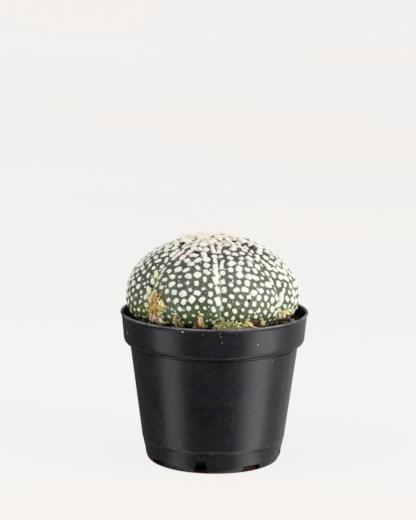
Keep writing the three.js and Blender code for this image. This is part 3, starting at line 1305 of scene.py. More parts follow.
@dataclass(frozen=True)
class FleckPlan:
    """Where the flecks are: areoles on the crests, rows beside the grooves, spread between.

    The gaps between flecks, their sizes as shares of the gaps, and their aspects go with the distances
    from the crown's middle.
    """

    form: BodyForm = BodyForm()
    soil_line: float = 69.2 * MM
    sunk: float = 3 * MM
    distances: tuple[float, ...] = (8 * MM, 26 * MM, 42 * MM, 54 * MM)
    gaps: tuple[float, ...] = (2.9 * MM, 3.6 * MM, 3.25 * MM, 3.0 * MM)
    shares: tuple[float, ...] = (0.55, 0.45, 0.335, 0.32)
    aspects: tuple[float, ...] = (1.16, 1.14, 1.0)
    # areoles; widths and lengths are halves, in mm
    areole_distances: Span = (4.2 * MM, 57 * MM)
    areole_gaps: Span = (2.9 * MM, 7.2 * MM)
    areole_growth: float = 1.17
    areole_widths: Span = (1.5, 2.0)
    areole_lengths: Span = (1.1, 1.4)
    full_areole: float = 20 * MM
    # rows beside the grooves; start, stagger and half widths in mm, lengths, offsets and steps as factors
    row_start: float = 15.0
    row_stagger: float = 4.0
    row_end: float = 64 * MM
    row_widths: Span = (0.85, 1.40)
    row_lengths: Span = (1.0, 2.1)
    row_offset: Span = (1.25 * MM, 1.55 * MM)
    row_offsets: Span = (0.8, 1.5)
    row_step: float = 4.0 * MM
    row_steps: Span = (0.72, 1.25)
    row_lean: float = 16.0
    # free flecks and the grains between them; sizes are factors, but those of grains are in mm
    fleck_tries: int = 9000
    fleck_room: float = 0.93
    fleck_sizes: Span = (0.74, 1.20)
    fleck_aspects: Span = (0.82, 1.24)
    fleck_limits: Span = (0.5 * MM, 1.8 * MM)
    grain_tries: int = 900
    grain_room: float = 0.62
    grain_sizes: Span = (0.30, 0.55)
    grain_push: float = 1.5
    joined_size: float = 1.40
    joined_share: float = 0.06
    lush_azimuth: float = 68.0
    lush_share: float = 0.08
    dwindle: Span = (76 * MM, 85 * MM)
    dwindled: Span = (0.78, 1.0)
    squarenesses: Span = (2.2, 4.2)
    # age, on one old rib and at the foot
    old_azimuth: float = -39.0
    old_width: float = 12.0
    old_top: float = 96 * MM
    old_ages: Span = (0.05, 0.5)
    foot_ages: Span = (0.3, 1.1)
    foot_depth: float = 7 * MM
    aged_foot: float = 79 * MM
    aged_left_foot: float = 83 * MM
    left_flank: Span = (190, 312)
    # how free flecks push each other apart
    push_rounds: int = 14
    push_reach: float = 1.45
    push_share: float = 0.35
    bend_radius: float = 38 * MM
    last_latitude: float = 1.55
    seed: int = 11

    def crown_distance(self, latitude: np.ndarray) -> np.ndarray:
        """How far latitudes are from the crown's middle, roughly along the skin."""
        radius, height = self.form.outline(latitude)
        return np.hypot(radius, self.form.top - height)

    def latitude_at(self, distance: float) -> float:
        """The latitude at a distance from the crown's middle."""
        latitudes = np.linspace(NEAR_POLE, -NEAR_POLE, 2000)
        return float(np.interp(distance, self.crown_distance(latitudes), latitudes))

    def spacing(self, latitude: float) -> float:
        """The least distance between flecks at a latitude: close at the crown, and at the foot."""
        return float(np.interp(self.crown_distance(np.float64(latitude)), self.distances, self.gaps))

    def places(self, flecks: Sequence[Fleck]) -> np.ndarray:
        """The flecks' middles, one row each."""
        turns = np.array([(fleck.azimuth, fleck.latitude) for fleck in flecks])
        return self.form.point(turns[:, 0], turns[:, 1])

    def crests(self, rng: random.Random) -> list[Fleck]:
        """Sets the areoles of each rib, packed at the crown and farther apart below.

        Args:
            rng: The source of their scatter.

        Returns:
            The areoles.
        """
        found = []
        for groove, width in zip(self.form.grooves(), self.form.rib_widths):
            crest = groove + width / 2
            distance, gap = self.areole_distances[0], self.areole_gaps[0]
            while distance < self.areole_distances[1]:
                azimuth = crest + rng.uniform(-2, 2)
                latitude = self.latitude_at(distance + rng.uniform(-0.5, 0.5) * MM)
                far = min(1.0, distance / self.full_areole)
                across = rng.uniform(*self.areole_widths) * MM * (0.75 + 0.35 * far)
                along = rng.uniform(*self.areole_lengths) * MM
                found.append(Fleck(azimuth, latitude, Patch.AREOLE, across, along))
                distance += gap
                gap = min(gap * self.areole_growth, self.areole_gaps[1])
        return found

    def rows(self, rng: random.Random) -> list[Fleck]:
        """Sets the upright flecks along both sides of each groove.

        Args:
            rng: The source of their scatter.

        Returns:
            The flecks.
        """
        found = []
        for groove in self.form.grooves():
            for side in (-1, 1):
                distance = (self.row_start + self.row_stagger * rng.random()) * MM
                while distance < self.row_end:
                    latitude = self.latitude_at(distance)
                    radius, height = self.form.outline(np.float64(latitude))
                    offset = np.interp(distance, self.distances[1:3], self.row_offset)
                    turn = math.degrees(offset * rng.uniform(*self.row_offsets) / radius)
                    if height > self.soil_line - self.sunk:
                        wide = rng.uniform(*self.row_widths)
                        found.append(Fleck(groove + side * turn, latitude, Patch.GROOVE,
                                           wide * MM, wide * rng.uniform(*self.row_lengths) * MM,
                                           twist=-side * self.row_lean))
                    distance += self.row_step * rng.uniform(*self.row_steps)
        return found

    def scatter(self, rng: random.Random, fixed: Sequence[Fleck], patch: Patch, tries: int,
                gap_share: float) -> list[Fleck]:
        """Throws flecks at the body, each kept if it is clear of all others.

        Args:
            rng: The source of the throws.
            fixed: The flecks that are there already.
            patch: What kind the new ones are.
            tries: How many are thrown.
            gap_share: The least distance, as a share of the spacing there.

        Returns:
            The new flecks.
        """
        taken = np.full((len(fixed) + tries, 3), FAR_AWAY)
        taken[:len(fixed)] = self.places(fixed)
        found: list[Fleck] = []
        for _ in range(tries):
            latitude, azimuth = math.asin(rng.uniform(-0.6, 1)), rng.uniform(0, 360)
            place = self.form.point(np.float64(azimuth), np.float64(latitude))
            count = len(fixed) + len(found)
            if place[2] < self.soil_line - self.sunk:
                continue
            if np.linalg.norm(taken[:count] - place, axis=1).min() >= self.spacing(latitude) * gap_share:
                found.append(Fleck(azimuth, latitude, patch))
                taken[count] = place
        return found

    def relax(self, fixed: Sequence[Fleck], free: Sequence[Fleck]) -> None:
        """Lets flecks push each other apart, so that they spread evenly.

        Args:
            fixed: The flecks that stay.
            free: The flecks that give way.
        """
        for _ in range(self.push_rounds):
            everyone = self.places([*fixed, *free])
            movers = everyone[len(fixed):]
            reach = self.push_reach * np.array([self.spacing(fleck.latitude) for fleck in free])
            apart = movers[:, None] - everyone[None]
            distance = np.linalg.norm(apart, axis=2)
            distance[np.arange(len(free)), np.arange(len(free)) + len(fixed)] = FAR_AWAY
            push = np.clip(1 - distance / reach[:, None], 0, 1) / np.maximum(distance, 0.1 * MM)
            shove = (apart * push[:, :, None]).sum(axis=1) * self.push_share * reach[:, None]
            for fleck, move in zip(free, shove):
                self.shift(fleck, move)

    def shift(self, fleck: Fleck, move: np.ndarray) -> None:
        """Slides a fleck over the skin.

        Args:
            fleck: The fleck.
            move: How far it goes along X, Y and Z, in metres.
        """
        radius = float(self.form.outline(np.float64(fleck.latitude))[0])
        angle = math.radians(fleck.azimuth)
        sideways = move[0] * math.cos(angle) + move[1] * math.sin(angle)
        up = self.form.normal(fleck.azimuth, fleck.latitude)
        uphill = Vector(move).dot(up.cross(Vector((math.cos(angle), math.sin(angle), 0))))
        fleck.azimuth += math.degrees(sideways / max(radius, 2 * MM))
        fleck.latitude = min(self.last_latitude, fleck.latitude + uphill / self.bend_radius)

    def resize(self, fleck: Fleck, room: float, height: float, rng: random.Random) -> None:
        """Gives a free fleck its half sizes.

        Args:
            fleck: The fleck.
            room: How far its nearest neighbour is.
            height: How high it is.
            rng: The source of its scatter.
        """
        distance = self.crown_distance(np.float64(fleck.latitude))
        share = float(np.interp(distance, self.distances, self.shares))
        lush = max(0.0, math.cos(math.radians(fleck.azimuth - self.lush_azimuth))) ** 6
        joined = rng.random() < self.joined_share
        size = self.joined_size if joined else rng.uniform(*self.fleck_sizes)
        half = room * (share + lush * self.lush_share) * size
        half *= float(np.interp(height, self.dwindle, self.dwindled))
        half = min(max(half, self.fleck_limits[0]), self.fleck_limits[1])
        if fleck.patch is Patch.GRAIN:
            half = rng.uniform(*self.grain_sizes) * MM
        tall = float(np.interp(distance, self.distances[:3], self.aspects))
        aspect = rng.uniform(*self.fleck_aspects) * tall
        fleck.across, fleck.along = half / aspect, half * aspect

    def weather(self, fleck: Fleck, height: float, rng: random.Random) -> None:
        """Ages a fleck, on one old rib and at the foot.

        Args:
            fleck: The fleck.
            height: How high it is.
            rng: The source of its age.
        """
        off = abs((fleck.azimuth - self.old_azimuth + 180) % 360 - 180)
        if off < self.old_width and height < self.old_top:
            fleck.age = rng.uniform(*self.old_ages)
        on_left = self.left_flank[0] < fleck.azimuth % 360 < self.left_flank[1]
        foot = self.aged_left_foot if on_left else self.aged_foot
        fleck.age += max(0.0, (foot - height) / self.foot_depth) * rng.uniform(*self.foot_ages)
        fleck.age = min(1.0, fleck.age)

    def finish(self, rng: random.Random, flecks: Sequence[Fleck]) -> None:
        """Gives each fleck its size, turn and tint.

        Args:
            rng: The source of their scatter.
            flecks: All the flecks.
        """
        places = self.places(flecks)
        apart = np.linalg.norm(places[:, None] - places[None], axis=2)
        apart *= np.where([fleck.patch is Patch.GRAIN for fleck in flecks], self.grain_push, 1.0)[None]
        nearest = (apart + np.eye(len(flecks))).min(axis=1)
        for fleck, room, place in zip(flecks, nearest, places):
            upright = fleck.patch in (Patch.GROOVE, Patch.AREOLE)
            fleck.twist += rng.uniform(-14, 14) if upright else rng.uniform(-60, 60)
            fleck.squareness = rng.uniform(*self.squarenesses)
            fleck.shade = rng.random()
            if not upright:
                self.resize(fleck, room, place[2], rng)
            self.weather(fleck, place[2], rng)

    def flecks(self) -> list[Fleck]:
        """Spreads the flecks.

        Returns:
            All of them.
        """
        rng = random.Random(self.seed)
        fixed = [*self.crests(rng), *self.rows(rng)]
        free = self.scatter(rng, fixed, Patch.FLECK, self.fleck_tries, self.fleck_room)
        self.relax(fixed, free)
        whole = [*fixed, *free]
        whole += self.scatter(rng, whole, Patch.GRAIN, self.grain_tries, self.grain_room)
        self.finish(rng, whole)
        return whole


@dataclass(frozen=True)
class StarCactus:
    """The grown body: flecked skin, areoles with wool, and the woolly crown."""

    plan: FleckPlan = FleckPlan()
    first_cuts: int = 14
    second_cuts: int = 7
    fleck_height: float = 0.36 * MM
    crown_height: float = 0.95 * MM
    crown_reach: Span = (12 * MM, 30 * MM)
    slope: Span = (-0.16 * MM, 0.50 * MM)
    edge_width: float = 1.0 * MM
    ragged: tuple[Ripple, ...] = (Ripple(0.11 * MM, 1.5 * MM, 5), Ripple(0.09 * MM, 3.1 * MM, 6))
    lumps: Ripple = Ripple(0.12 * MM, 1.1 * MM, 7)
    groove_snap: float = 0.27 * MM
    nearest: int = 4
    chunk: int = 4000

    def blank(self) -> Workpiece:
        """Models the bare ribbed body, as an even mesh of small squares.

        Returns:
            The body, with an edge along each groove.
        """
        form = self.plan.form
        skin = Workpiece.started("cactus_skin", bpy.ops.mesh.primitive_cube_add, size=2)
        skin.choose(np.ones(len(skin.thing.data.polygons), bool))
        skin.edit(lambda: bpy.ops.mesh.subdivide(number_cuts=self.first_cuts),
                  lambda: bpy.ops.mesh.subdivide(number_cuts=self.second_cuts))
        ball = np.tan(skin.places() * math.pi / 4)
        ball /= np.linalg.norm(ball, axis=1, keepdims=True)
        body_latitudes, sphere_latitudes = form.tables()
        latitude = np.interp(np.arcsin(ball[:, 2]), sphere_latitudes, body_latitudes)
        azimuth = np.degrees(np.arctan2(ball[:, 0], -ball[:, 1]))
        to_groove = form.from_groove(azimuth)
        reach = np.abs(to_groove) * math.pi / 180 * form.outline(latitude)[0]
        azimuth = np.where(reach < self.groove_snap, azimuth + to_groove, azimuth)
        skin.note("groove", np.clip(1 - reach / self.edge_width, 0, 1))
        return skin.put(form.point(azimuth, latitude))

    def measure(self, places: np.ndarray, flecks: Sequence[Fleck]) -> tuple[np.ndarray, np.ndarray]:
        """Measures places against the flecks.

        Args:
            places: Points on the bare body, one row each.
            flecks: The flecks.

        Returns:
            How far inside a fleck's edge each place lies, in metres, and which fleck that is.
        """
        middles = self.plan.places(flecks)
        azimuths = np.radians([fleck.azimuth for fleck in flecks])
        normals = np.array([self.plan.form.normal(fleck.azimuth, fleck.latitude) for fleck in flecks])
        across = np.stack([np.cos(azimuths), np.sin(azimuths), np.zeros(len(flecks))], axis=1)
        along = np.cross(normals, across)
        twists = np.radians([fleck.twist for fleck in flecks])
        sizes = np.array([(fleck.across, fleck.along) for fleck in flecks])
        powers = np.array([fleck.squareness for fleck in flecks])
        inside = np.full(len(places), -1.0)
        which = np.zeros(len(places), int)
        for start in range(0, len(places), self.chunk):
            rows = slice(start, start + self.chunk)
            some = places[rows]
            gaps = (middles**2).sum(1)[None] - 2 * some @ middles.T
            near = np.argpartition(gaps, self.nearest, axis=1)[:, :self.nearest]
            for fleck in near.T:
                offset = some - middles[fleck]
                x, y = (offset * across[fleck]).sum(1), (offset * along[fleck]).sum(1)
                cosine, sine = np.cos(twists[fleck]), np.sin(twists[fleck])
                wide = np.abs(x * cosine + y * sine) / sizes[fleck, 0]
                high = np.abs(y * cosine - x * sine) / sizes[fleck, 1]
                share = (wide**powers[fleck] + high**powers[fleck]) ** (1 / powers[fleck])
                depth = (1 - share) * sizes[fleck].min(axis=1)
                better = depth > inside[rows]
                inside[rows] = np.where(better, depth, inside[rows])
                which[rows] = np.where(better, fleck, which[rows])
        return inside, which

    def raised(self, places: np.ndarray, inside: np.ndarray) -> np.ndarray:
        """How far the felt stands out of the skin.

        Args:
            places: Points on the bare body, one row each.
            inside: How far inside a fleck's edge each lies.

        Returns:
            The height of the felt at each, thickest on the crown.
        """
        pad = smooth_step(inside, *self.slope)
        away = np.hypot(np.hypot(places[:, 0], places[:, 1]), self.plan.form.top - places[:, 2])
        crown = smooth_step(-away, -self.crown_reach[1], -self.crown_reach[0])
        thick = self.fleck_height + (self.crown_height - self.fleck_height) * crown
        return pad * (thick + self.lumps.at(places))

    def build(self) -> None:
        """Models the body in place of the frame's node."""
        flecks = self.plan.flecks()
        log.info("%d flecks", len(flecks))
        skin = self.blank()
        places = skin.places()
        inside, which = self.measure(places, flecks)
        inside += sum(ripple.at(places) for ripple in self.ragged)
        skin.note("felt", np.clip(0.5 + inside / self.edge_width, 0, 1))
        skin.note("shade", np.array([fleck.shade for fleck in flecks])[which])
        skin.note("age", np.array([fleck.age for fleck in flecks])[which])
        skin.put(places + skin.normals() * self.raised(places, inside)[:, None])
        skin.dress(CactusSkin().material()).smooth(180)
        skin.hand_over("cactus_skin", "cactus_body")
        AreoleWool(self.plan, flecks).build()


@dataclass(frozen=True)
class AreoleWool:
    """Tufts of wool on the areoles and over the crown, and the dark scars between them.

    The spans of their sizes and heights are in mm.
    """

    plan: FleckPlan
    flecks: Sequence[Fleck]
    crown_reach: float = 23 * MM
    thick_reach: float = 15 * MM
    thick_share: float = 0.55
    scar_sizes: Span = (0.55, 0.80)
    crown_sizes: Span = (1.3, 2.1)
    crown_heights: Span = (1.2, 2.1)
    areole_sizes: Span = (1.1, 1.5)
    models: int = 4
    lumps: tuple[Span, ...] = ((0.75 * MM, 0.70 * MM), (0.30 * MM, 0.20 * MM))
    lift: float = 0.3 * MM
    scar_lift: float = 0.5 * MM
    seed: int = 29

    def kind(self, fleck: Fleck, distance: float, rng: random.Random) -> Optional[tuple[Wool, float, float]]:
        """What a fleck carries.

        Args:
            fleck: The fleck.
            distance: How far it is from the crown's middle.
            rng: The source of the choice.

        Returns:
            The wool, its radius and its thickness in millimetres, or None.
        """
        if distance < self.crown_reach and fleck.patch is Patch.GRAIN:
            return Wool.SCAR, rng.uniform(*self.scar_sizes), 0.5
        if distance < self.thick_reach and rng.random() < self.thick_share:
            return Wool.CROWN, rng.uniform(*self.crown_sizes), rng.uniform(*self.crown_heights)
        if fleck.patch is Patch.AREOLE:
            wool, thickness = (Wool.CROWN, 0.9) if distance < self.crown_reach else (Wool.FLANK, 0.5)
            return wool, rng.uniform(*self.areole_sizes), thickness
        return None

    def build(self) -> None:
        """Sets a tuft on every areole above the soil."""
        models = [Workpiece.nugget(f"tuft_{i}", 3, i * 7 * MM, *self.lumps) for i in range(self.models)]
        rng = random.Random(self.seed)
        groups: dict[Wool, list[Workpiece]] = {wool: [] for wool in Wool}
        for fleck, place in zip(self.flecks, self.plan.places(self.flecks)):
            distance = float(self.plan.crown_distance(np.float64(fleck.latitude)))
            found = self.kind(fleck, distance, rng)
            if found is None or place[2] < self.plan.soil_line + 2 * MM:
                continue
            wool, size, thickness = found
            up = self.plan.form.normal(fleck.azimuth, fleck.latitude)
            tilt = up.to_track_quat("Z", "Y").to_matrix().to_4x4()
            twist = Matrix.Rotation(rng.uniform(0, 2 * math.pi), 4, "Z")
            flat = Matrix.Diagonal((size * 1.15, size, thickness, 1))
            tuft = rng.choice(models).copy("wool_tuft")
            lift = self.scar_lift if wool is Wool.SCAR else self.lift
            tuft.turned(Matrix.Translation(Vector(place) + up * lift) @ tilt @ twist @ flat)
            groups[wool].append(tuft)
        for model in models:
            model.scrap()
        for wool, tufts in groups.items():
            whole = Workpiece.joined(wool.value[0] + "_tufts", tufts)
            whole.dress(wool.material()).smooth(180)
            whole.hand_over("cactus_skin")


# ---- mix and remains ----

# the bed and the grains on it: dark peat painted near black, painted shade of the gap between the body and
# the lip
SHADED_BED_MIX = Soil("mix_bed", (0.0018, 0.0013, 0.0010), (0.010, 0.006, 0.004))
LOOSE_MIX = Soil("mix_grains", (0.0025, 0.0018, 0.0014), (0.026, 0.014, 0.008))
SLOT_EARTH = Soil("slot_grains", (0.040, 0.014, 0.008), (0.26, 0.10, 0.05))
HEAP_BARK = Soil("heap_grains", (0.055, 0.038, 0.024), (0.44, 0.33, 0.22))
CRUMBS = Soil("crumbs", (0.006, 0.004, 0.003), (0.085, 0.044, 0.026))


@dataclass(frozen=True)
class PottingMix:
    """The bed of mix with its loose grains, the crumbs lying on it, and the earth in one slot.

    The spans of the grains' radii from the pot's axis, and of their heights, are in mm; in the heap and
    on the bed, heights are above the surface.
    """

    outer_radius: float = 43.0 * MM
    inner_radius: float = 28.0 * MM
    surface: float = 69.0 * MM
    start: Ring = Ring(26 * MM, 3 * MM)
    side: tuple[Ring, ...] = (Ring(31.2 * MM, 5 * MM), Ring(32.6 * MM, 11 * MM), Ring(39.2 * MM, 57.5 * MM),
                              Ring(42.3 * MM, 62 * MM))
    edge_drop: float = 0.4 * MM
    swell: float = 0.8 * MM
    sides: int = 180
    steps: int = 15
    slot_grains: int = 26
    heap_grains: int = 34
    bed_grains: int = 480
    slot_azimuth: float = 35.0
    slot_radii: Span = (28.5, 30.6)
    slot_heights: Span = (0.8, 2.2)
    heap_azimuth: float = 58.0
    heap_radii: Span = (39.5, 43.2)
    heap_heights: Span = (1.0, 4.6)
    bed_radii: Span = (35.0, 43.0)
    bed_heights: Span = (0.4, 1.3)
    models: int = 5
    crumbs: int = 12
    seed: int = 5

    def bed(self) -> None:
        """Models the body of the mix, with a rough top."""
        rings = [*self.side, Ring(self.outer_radius, self.surface - self.edge_drop)]
        for step in range(self.steps + 1):
            share = step / self.steps
            radius = self.outer_radius - self.edge_drop + share * (self.inner_radius - self.outer_radius)
            rings.append(Ring(radius, self.surface + self.swell * math.sin(math.pi * share / 2)))
        bed = Workpiece.disc("mix_bed", self.start, self.sides).loft(self.start, rings)
        bed.roughen(2.4 * MM, 1.6 * MM)
        bed.roughen(0.9 * MM, 0.9 * MM)
        bed.dress(SHADED_BED_MIX.material()).smooth(60)
        bed.hand_over("potting_mix", "potting_mix")

    def lump(self, name: str, seed: int, fineness: int) -> Workpiece:
        """A crumb about two millimetres across, at the origin."""
        return Workpiece.nugget(name, fineness, seed * 5 * MM, (1.1 * MM, 1.2 * MM))

    def in_slot(self, rng: random.Random) -> tuple[Vector, float]:
        """The place and the size of a grain in the drain slot."""
        azimuth, radius = self.slot_azimuth + rng.uniform(-8, 8), rng.uniform(*self.slot_radii) * MM
        return spot(azimuth, radius, rng.uniform(*self.slot_heights) * MM), rng.uniform(0.35, 0.8)

    def in_heap(self, rng: random.Random) -> tuple[Vector, float]:
        """The place and the size of a grain in the heap inside the lip.

        Args:
            rng: The source of both.

        Returns:
            The place, and the grain's radius in millimetres.
        """
        azimuth, radius = self.heap_azimuth + rng.gauss(0, 4.5), rng.uniform(*self.heap_radii) * MM
        height = self.surface + rng.uniform(*self.heap_heights) * MM
        return spot(azimuth, radius, height), rng.uniform(0.4, 1.0)

    def on_bed(self, rng: random.Random) -> tuple[Vector, float]:
        """The place and the size of a grain that lies on the bed.

        Args:
            rng: The source of both.

        Returns:
            The place, and the grain's radius in millimetres.
        """
        radius, azimuth = rng.uniform(*self.bed_radii) * MM, rng.uniform(0, 360)
        height = self.surface + rng.uniform(*self.bed_heights) * MM
        return spot(azimuth, radius, height), rng.uniform(0.25, 0.5) * (2 if rng.random() < 0.12 else 1)

    def loose(self) -> None:
        """Scatters small grains in one drain slot, in a heap and all over the bed."""
        rng = random.Random(self.seed)
        models = [self.lump(f"grain_{i}", i, 1) for i in range(self.models)]
        for lay, count, soil in ((self.in_slot, self.slot_grains, SLOT_EARTH),
                                 (self.in_heap, self.heap_grains, HEAP_BARK),
                                 (self.on_bed, self.bed_grains, LOOSE_MIX)):
            grains = []
            for _ in range(count):
                place, size = lay(rng)
                turn = Matrix.Rotation(rng.uniform(0, 6), 4, "X") @ Matrix.Rotation(rng.uniform(0, 6), 4, "Z")
                shape = Matrix.Diagonal((size, size * rng.uniform(0.6, 1), size * rng.uniform(0.6, 1.2), 1))
                grain = rng.choice(models).copy("grain")
                grains.append(grain.turned(Matrix.Translation(place) @ turn @ shape))
            whole = Workpiece.joined(soil.name, grains)
            whole.dress(soil.material()).smooth(50)
            whole.hand_over("potting_mix")
        for model in models:
            model.scrap()

    def scattered(self) -> None:
        """Models each of the frame's crumbs as a lump of the same size."""
        finish = CRUMBS.material()
        for index in range(1, self.crumbs + 1):
            node = f"soil_crumb_{index:02d}"
            low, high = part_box(node)
            size = (high - low) / 2 / (1.05 * MM)
            crumb = self.lump(node + "_lump", index, 3)
            crumb.roughen(0.35 * MM, 0.35 * MM)
            crumb.turned(Matrix.Translation((low + high) / 2) @ Matrix.Diagonal((*size, 1)))
            crumb.dress(finish).smooth(70)
            crumb.hand_over("soil_crumb", node)

    def build(self) -> None:
        """Models the mix in place of the frame's nodes."""
        self.bed()
        self.loose()
        self.scattered()


class Strands:
    """Tapering strands, drawn as splines that share one flat profile."""

    def __init__(self, name: str, flatness: float) -> None:
        """Starts an empty bundle.

        Args:
            name: The bundle's name.
            flatness: How thick the strands are, as a share of their width.
        """
        Workpiece.clear()
        bpy.ops.curve.primitive_bezier_circle_add(radius=0.5)
        self.profile = bpy.context.object
        self.profile.scale = (1, flatness, 1)
        bpy.ops.object.transform_apply(scale=True)
        self.profile.data.resolution_u = 2
        self.name = name
        self.curve = bpy.data.curves.new(name, "CURVE")
        self.curve.dimensions = "3D"
        self.curve.bevel_mode = "OBJECT"
        self.curve.bevel_object = self.profile
        self.curve.use_fill_caps = True

    def add(self, path: Sequence[Vector], width: float, roll: float) -> None:
        """Draws one strand, widest before its middle and pointed at its end.

        Args:
            path: The points that it goes through.
            width: Its width.
            roll: How far it is turned about its path, in radians.
        """
        spline = self.curve.splines.new("POLY")
        spline.points.add(len(path) - 1)
        for index, (point, place) in enumerate(zip(spline.points, path)):
            share = index / (len(path) - 1)
            point.co = (*place, 1)
            point.radius = width * (0.25 + 0.9 * math.sin(math.pi * (0.12 + 0.78 * share)))
            point.tilt = roll

    def whole(self) -> Workpiece:
        """Makes the bundle one mesh.

        Returns:
            The bundle.
        """
        Workpiece(placed(self.name, self.curve), self.name).pick()
        bpy.ops.object.convert(target="MESH")
        made = Workpiece(bpy.context.object, self.name)
        bpy.data.objects.remove(self.profile)
        return made


@dataclass(frozen=True)
class Spray:
    """Strands that run from one patch of a bloom to another.

    Places are (across, up) from the bloom's middle, as shares of its half width and half height.
    """

    count: int
    start: Span
    end: Span
    scatter: float
    width: float
    finish: DryFibre
    lift: float = 1.0


@dataclass(frozen=True)
class Bloom:
    """A withered flower or husk lying against the foot of the body."""

    node: str
    azimuth: float
    height: float
    half_width: float
    half_height: float
    depth: float
    sprays: tuple[Spray, ...]
    form: BodyForm = BodyForm()
    lowest: float = 72.5 * MM
    steps: int = 6
    flatness: float = 0.35

    def against(self, across: float, up: float, lift: float) -> Vector:
        """Finds a place on the bloom.

        Args:
            across: How far right of its middle the place is, as a share of its half width.
            up: How far above its middle, as a share of its half height.
            lift: How far off the body, in metres.

        Returns:
            The place.
        """
        height = self.height + up * self.half_height
        latitude = self.form.latitude(max(height, self.lowest))
        turn = self.azimuth + math.degrees(across * self.half_width / self.form.radius)
        place = Vector(self.form.point(np.float64(turn), np.float64(latitude)))
        place.z = height
        return place + spot(turn, lift, 0)

    def strand(self, rng: random.Random, spray: Spray) -> list[Vector]:
        """Lays one bowed, slightly wavy strand.

        Args:
            rng: The source of its scatter.
            spray: The spray that it belongs to.

        Returns:
            The points that it goes through.
        """
        shake = [rng.gauss(0, spray.scatter) for _ in range(4)]
        start = (spray.start[0] + shake[0], min(1.0, spray.start[1] + shake[1]))
        end = (spray.end[0] + shake[2], min(1.1, spray.end[1] + shake[3]))
        depth = self.depth * spray.lift
        bow, wave, tip = rng.uniform(0.35, 1.0) * depth, rng.uniform(-0.12, 0.12), rng.uniform(0, 0.5) * depth
        path = []
        for step in range(self.steps + 1):
            share = step / self.steps
            swing = wave * math.sin(share * math.pi * 1.6)
            path.append(self.against(
                start[0] + share * (end[0] - start[0]) + swing,
                start[1] + share * (end[1] - start[1]) - swing,
                0.3 * MM + bow * math.sin(math.pi * min(1, share * 1.15)) ** 0.7 + tip * share**2))
        return path

    def build(self) -> None:
        """Models the bloom in place of its node."""
        rng = random.Random(self.node)
        parts = []
        for index, spray in enumerate(self.sprays):
            bundle = Strands(f"{self.node}_{index}", self.flatness)
            for _ in range(spray.count):
                bundle.add(self.strand(rng, spray), spray.width * rng.uniform(0.6, 1.3), rng.uniform(-1, 1))
            parts.append(bundle.whole().dress(spray.finish.material()).smooth(60))
        Workpiece.joined(self.node + "_strands", parts).hand_over("dried_flower", self.node)


@dataclass(frozen=True)
class Moss:
    """A strand of moss and old fibres between the body and the lip.

    The lengths and widths of its sprigs are in mm.
    """

    start: float = 2.6
    end: float = 23.0
    low: float = 72.0 * MM
    high: float = 77.6 * MM
    sprigs: int = 260
    fibres: int = 86
    flatness: float = 0.5
    lengths: Span = (0.9, 2.4)
    widths: Span = (0.35, 0.75)
    bends: tuple[float, ...] = (0, 0.25, 0.5, 0.75, 1)
    green: DryFibre = DryFibre("moss_green", (0.060, 0.072, 0.016), (0.36, 0.37, 0.095), (0.78, 0.76, 0.40))
    tan: DryFibre = DryFibre("moss_tan", (0.20, 0.13, 0.045), (0.68, 0.58, 0.32), (0.86, 0.80, 0.56))
    form: BodyForm = BodyForm()
    seed: int = 3

    def sprig(self, rng: random.Random) -> list[Vector]:
        """Lays one short, bent strand in the gap.

        Args:
            rng: The source of its place and shape.

        Returns:
            The points that it goes through.
        """
        turn = rng.uniform(self.start, self.end)
        top = self.high - rng.uniform(0, 2.2) * MM - 1.2 * MM * abs(math.sin(turn * 0.6))
        place = Vector(self.form.point(np.float64(turn), np.float64(self.form.latitude(top))))
        place += spot(turn, rng.uniform(0.2, 2.8) * MM, 0)
        place.z = rng.uniform(self.low, top)
        drift, bend = (Vector([rng.gauss(0, 1) for _ in range(3)]).normalized() for _ in range(2))
        length = rng.uniform(*self.lengths) * MM
        return [place + drift * length * share + bend * length * 0.5 * share**2 for share in self.bends]

    def build(self) -> None:
        """Models the strand in place of its node."""
        rng = random.Random(self.seed)
        bundles = []
        for name, finish, count in (("moss_strand", self.green, self.sprigs),
                                    ("moss_fibres", self.tan, self.fibres)):
            bundle = Strands(name, self.flatness)
            for _ in range(count):
                bundle.add(self.sprig(rng), rng.uniform(*self.widths) * MM, rng.uniform(-3, 3))
            bundles.append(bundle.whole().dress(finish.material()).smooth(60))
        Workpiece.joined("moss_strand", bundles).hand_over("moss", "moss_strand_front")


GOLDEN = DryFibre("golden_petals", (0.14, 0.065, 0.010), (0.46, 0.29, 0.060), (0.74, 0.58, 0.22))
HONEY = DryFibre("honey_petals", (0.090, 0.045, 0.010), (0.36, 0.22, 0.060), (0.66, 0.50, 0.22))
PALE = DryFibre("pale_petals", (0.24, 0.16, 0.06), (0.66, 0.55, 0.29), (0.84, 0.78, 0.55))
PINKISH = DryFibre("pinkish_petals", (0.22, 0.13, 0.08), (0.62, 0.47, 0.33), (0.82, 0.72, 0.56))
BROWN = DryFibre("brown_petals", (0.050, 0.022, 0.010), (0.22, 0.115, 0.050), (0.50, 0.33, 0.20))
BARK = DryFibre("bark_petals", (0.016, 0.008, 0.004), (0.075, 0.036, 0.014), (0.20, 0.105, 0.050))
TAN = DryFibre("tan_petals", (0.070, 0.036, 0.010), (0.40, 0.26, 0.10), (0.74, 0.58, 0.36))
YELLOW = DryFibre("yellow_husk", (0.20, 0.19, 0.045), (0.54, 0.52, 0.21), (0.82, 0.79, 0.48))
OLIVE = DryFibre("olive_husk", (0.030, 0.032, 0.007), (0.13, 0.135, 0.035), (0.34, 0.33, 0.11))

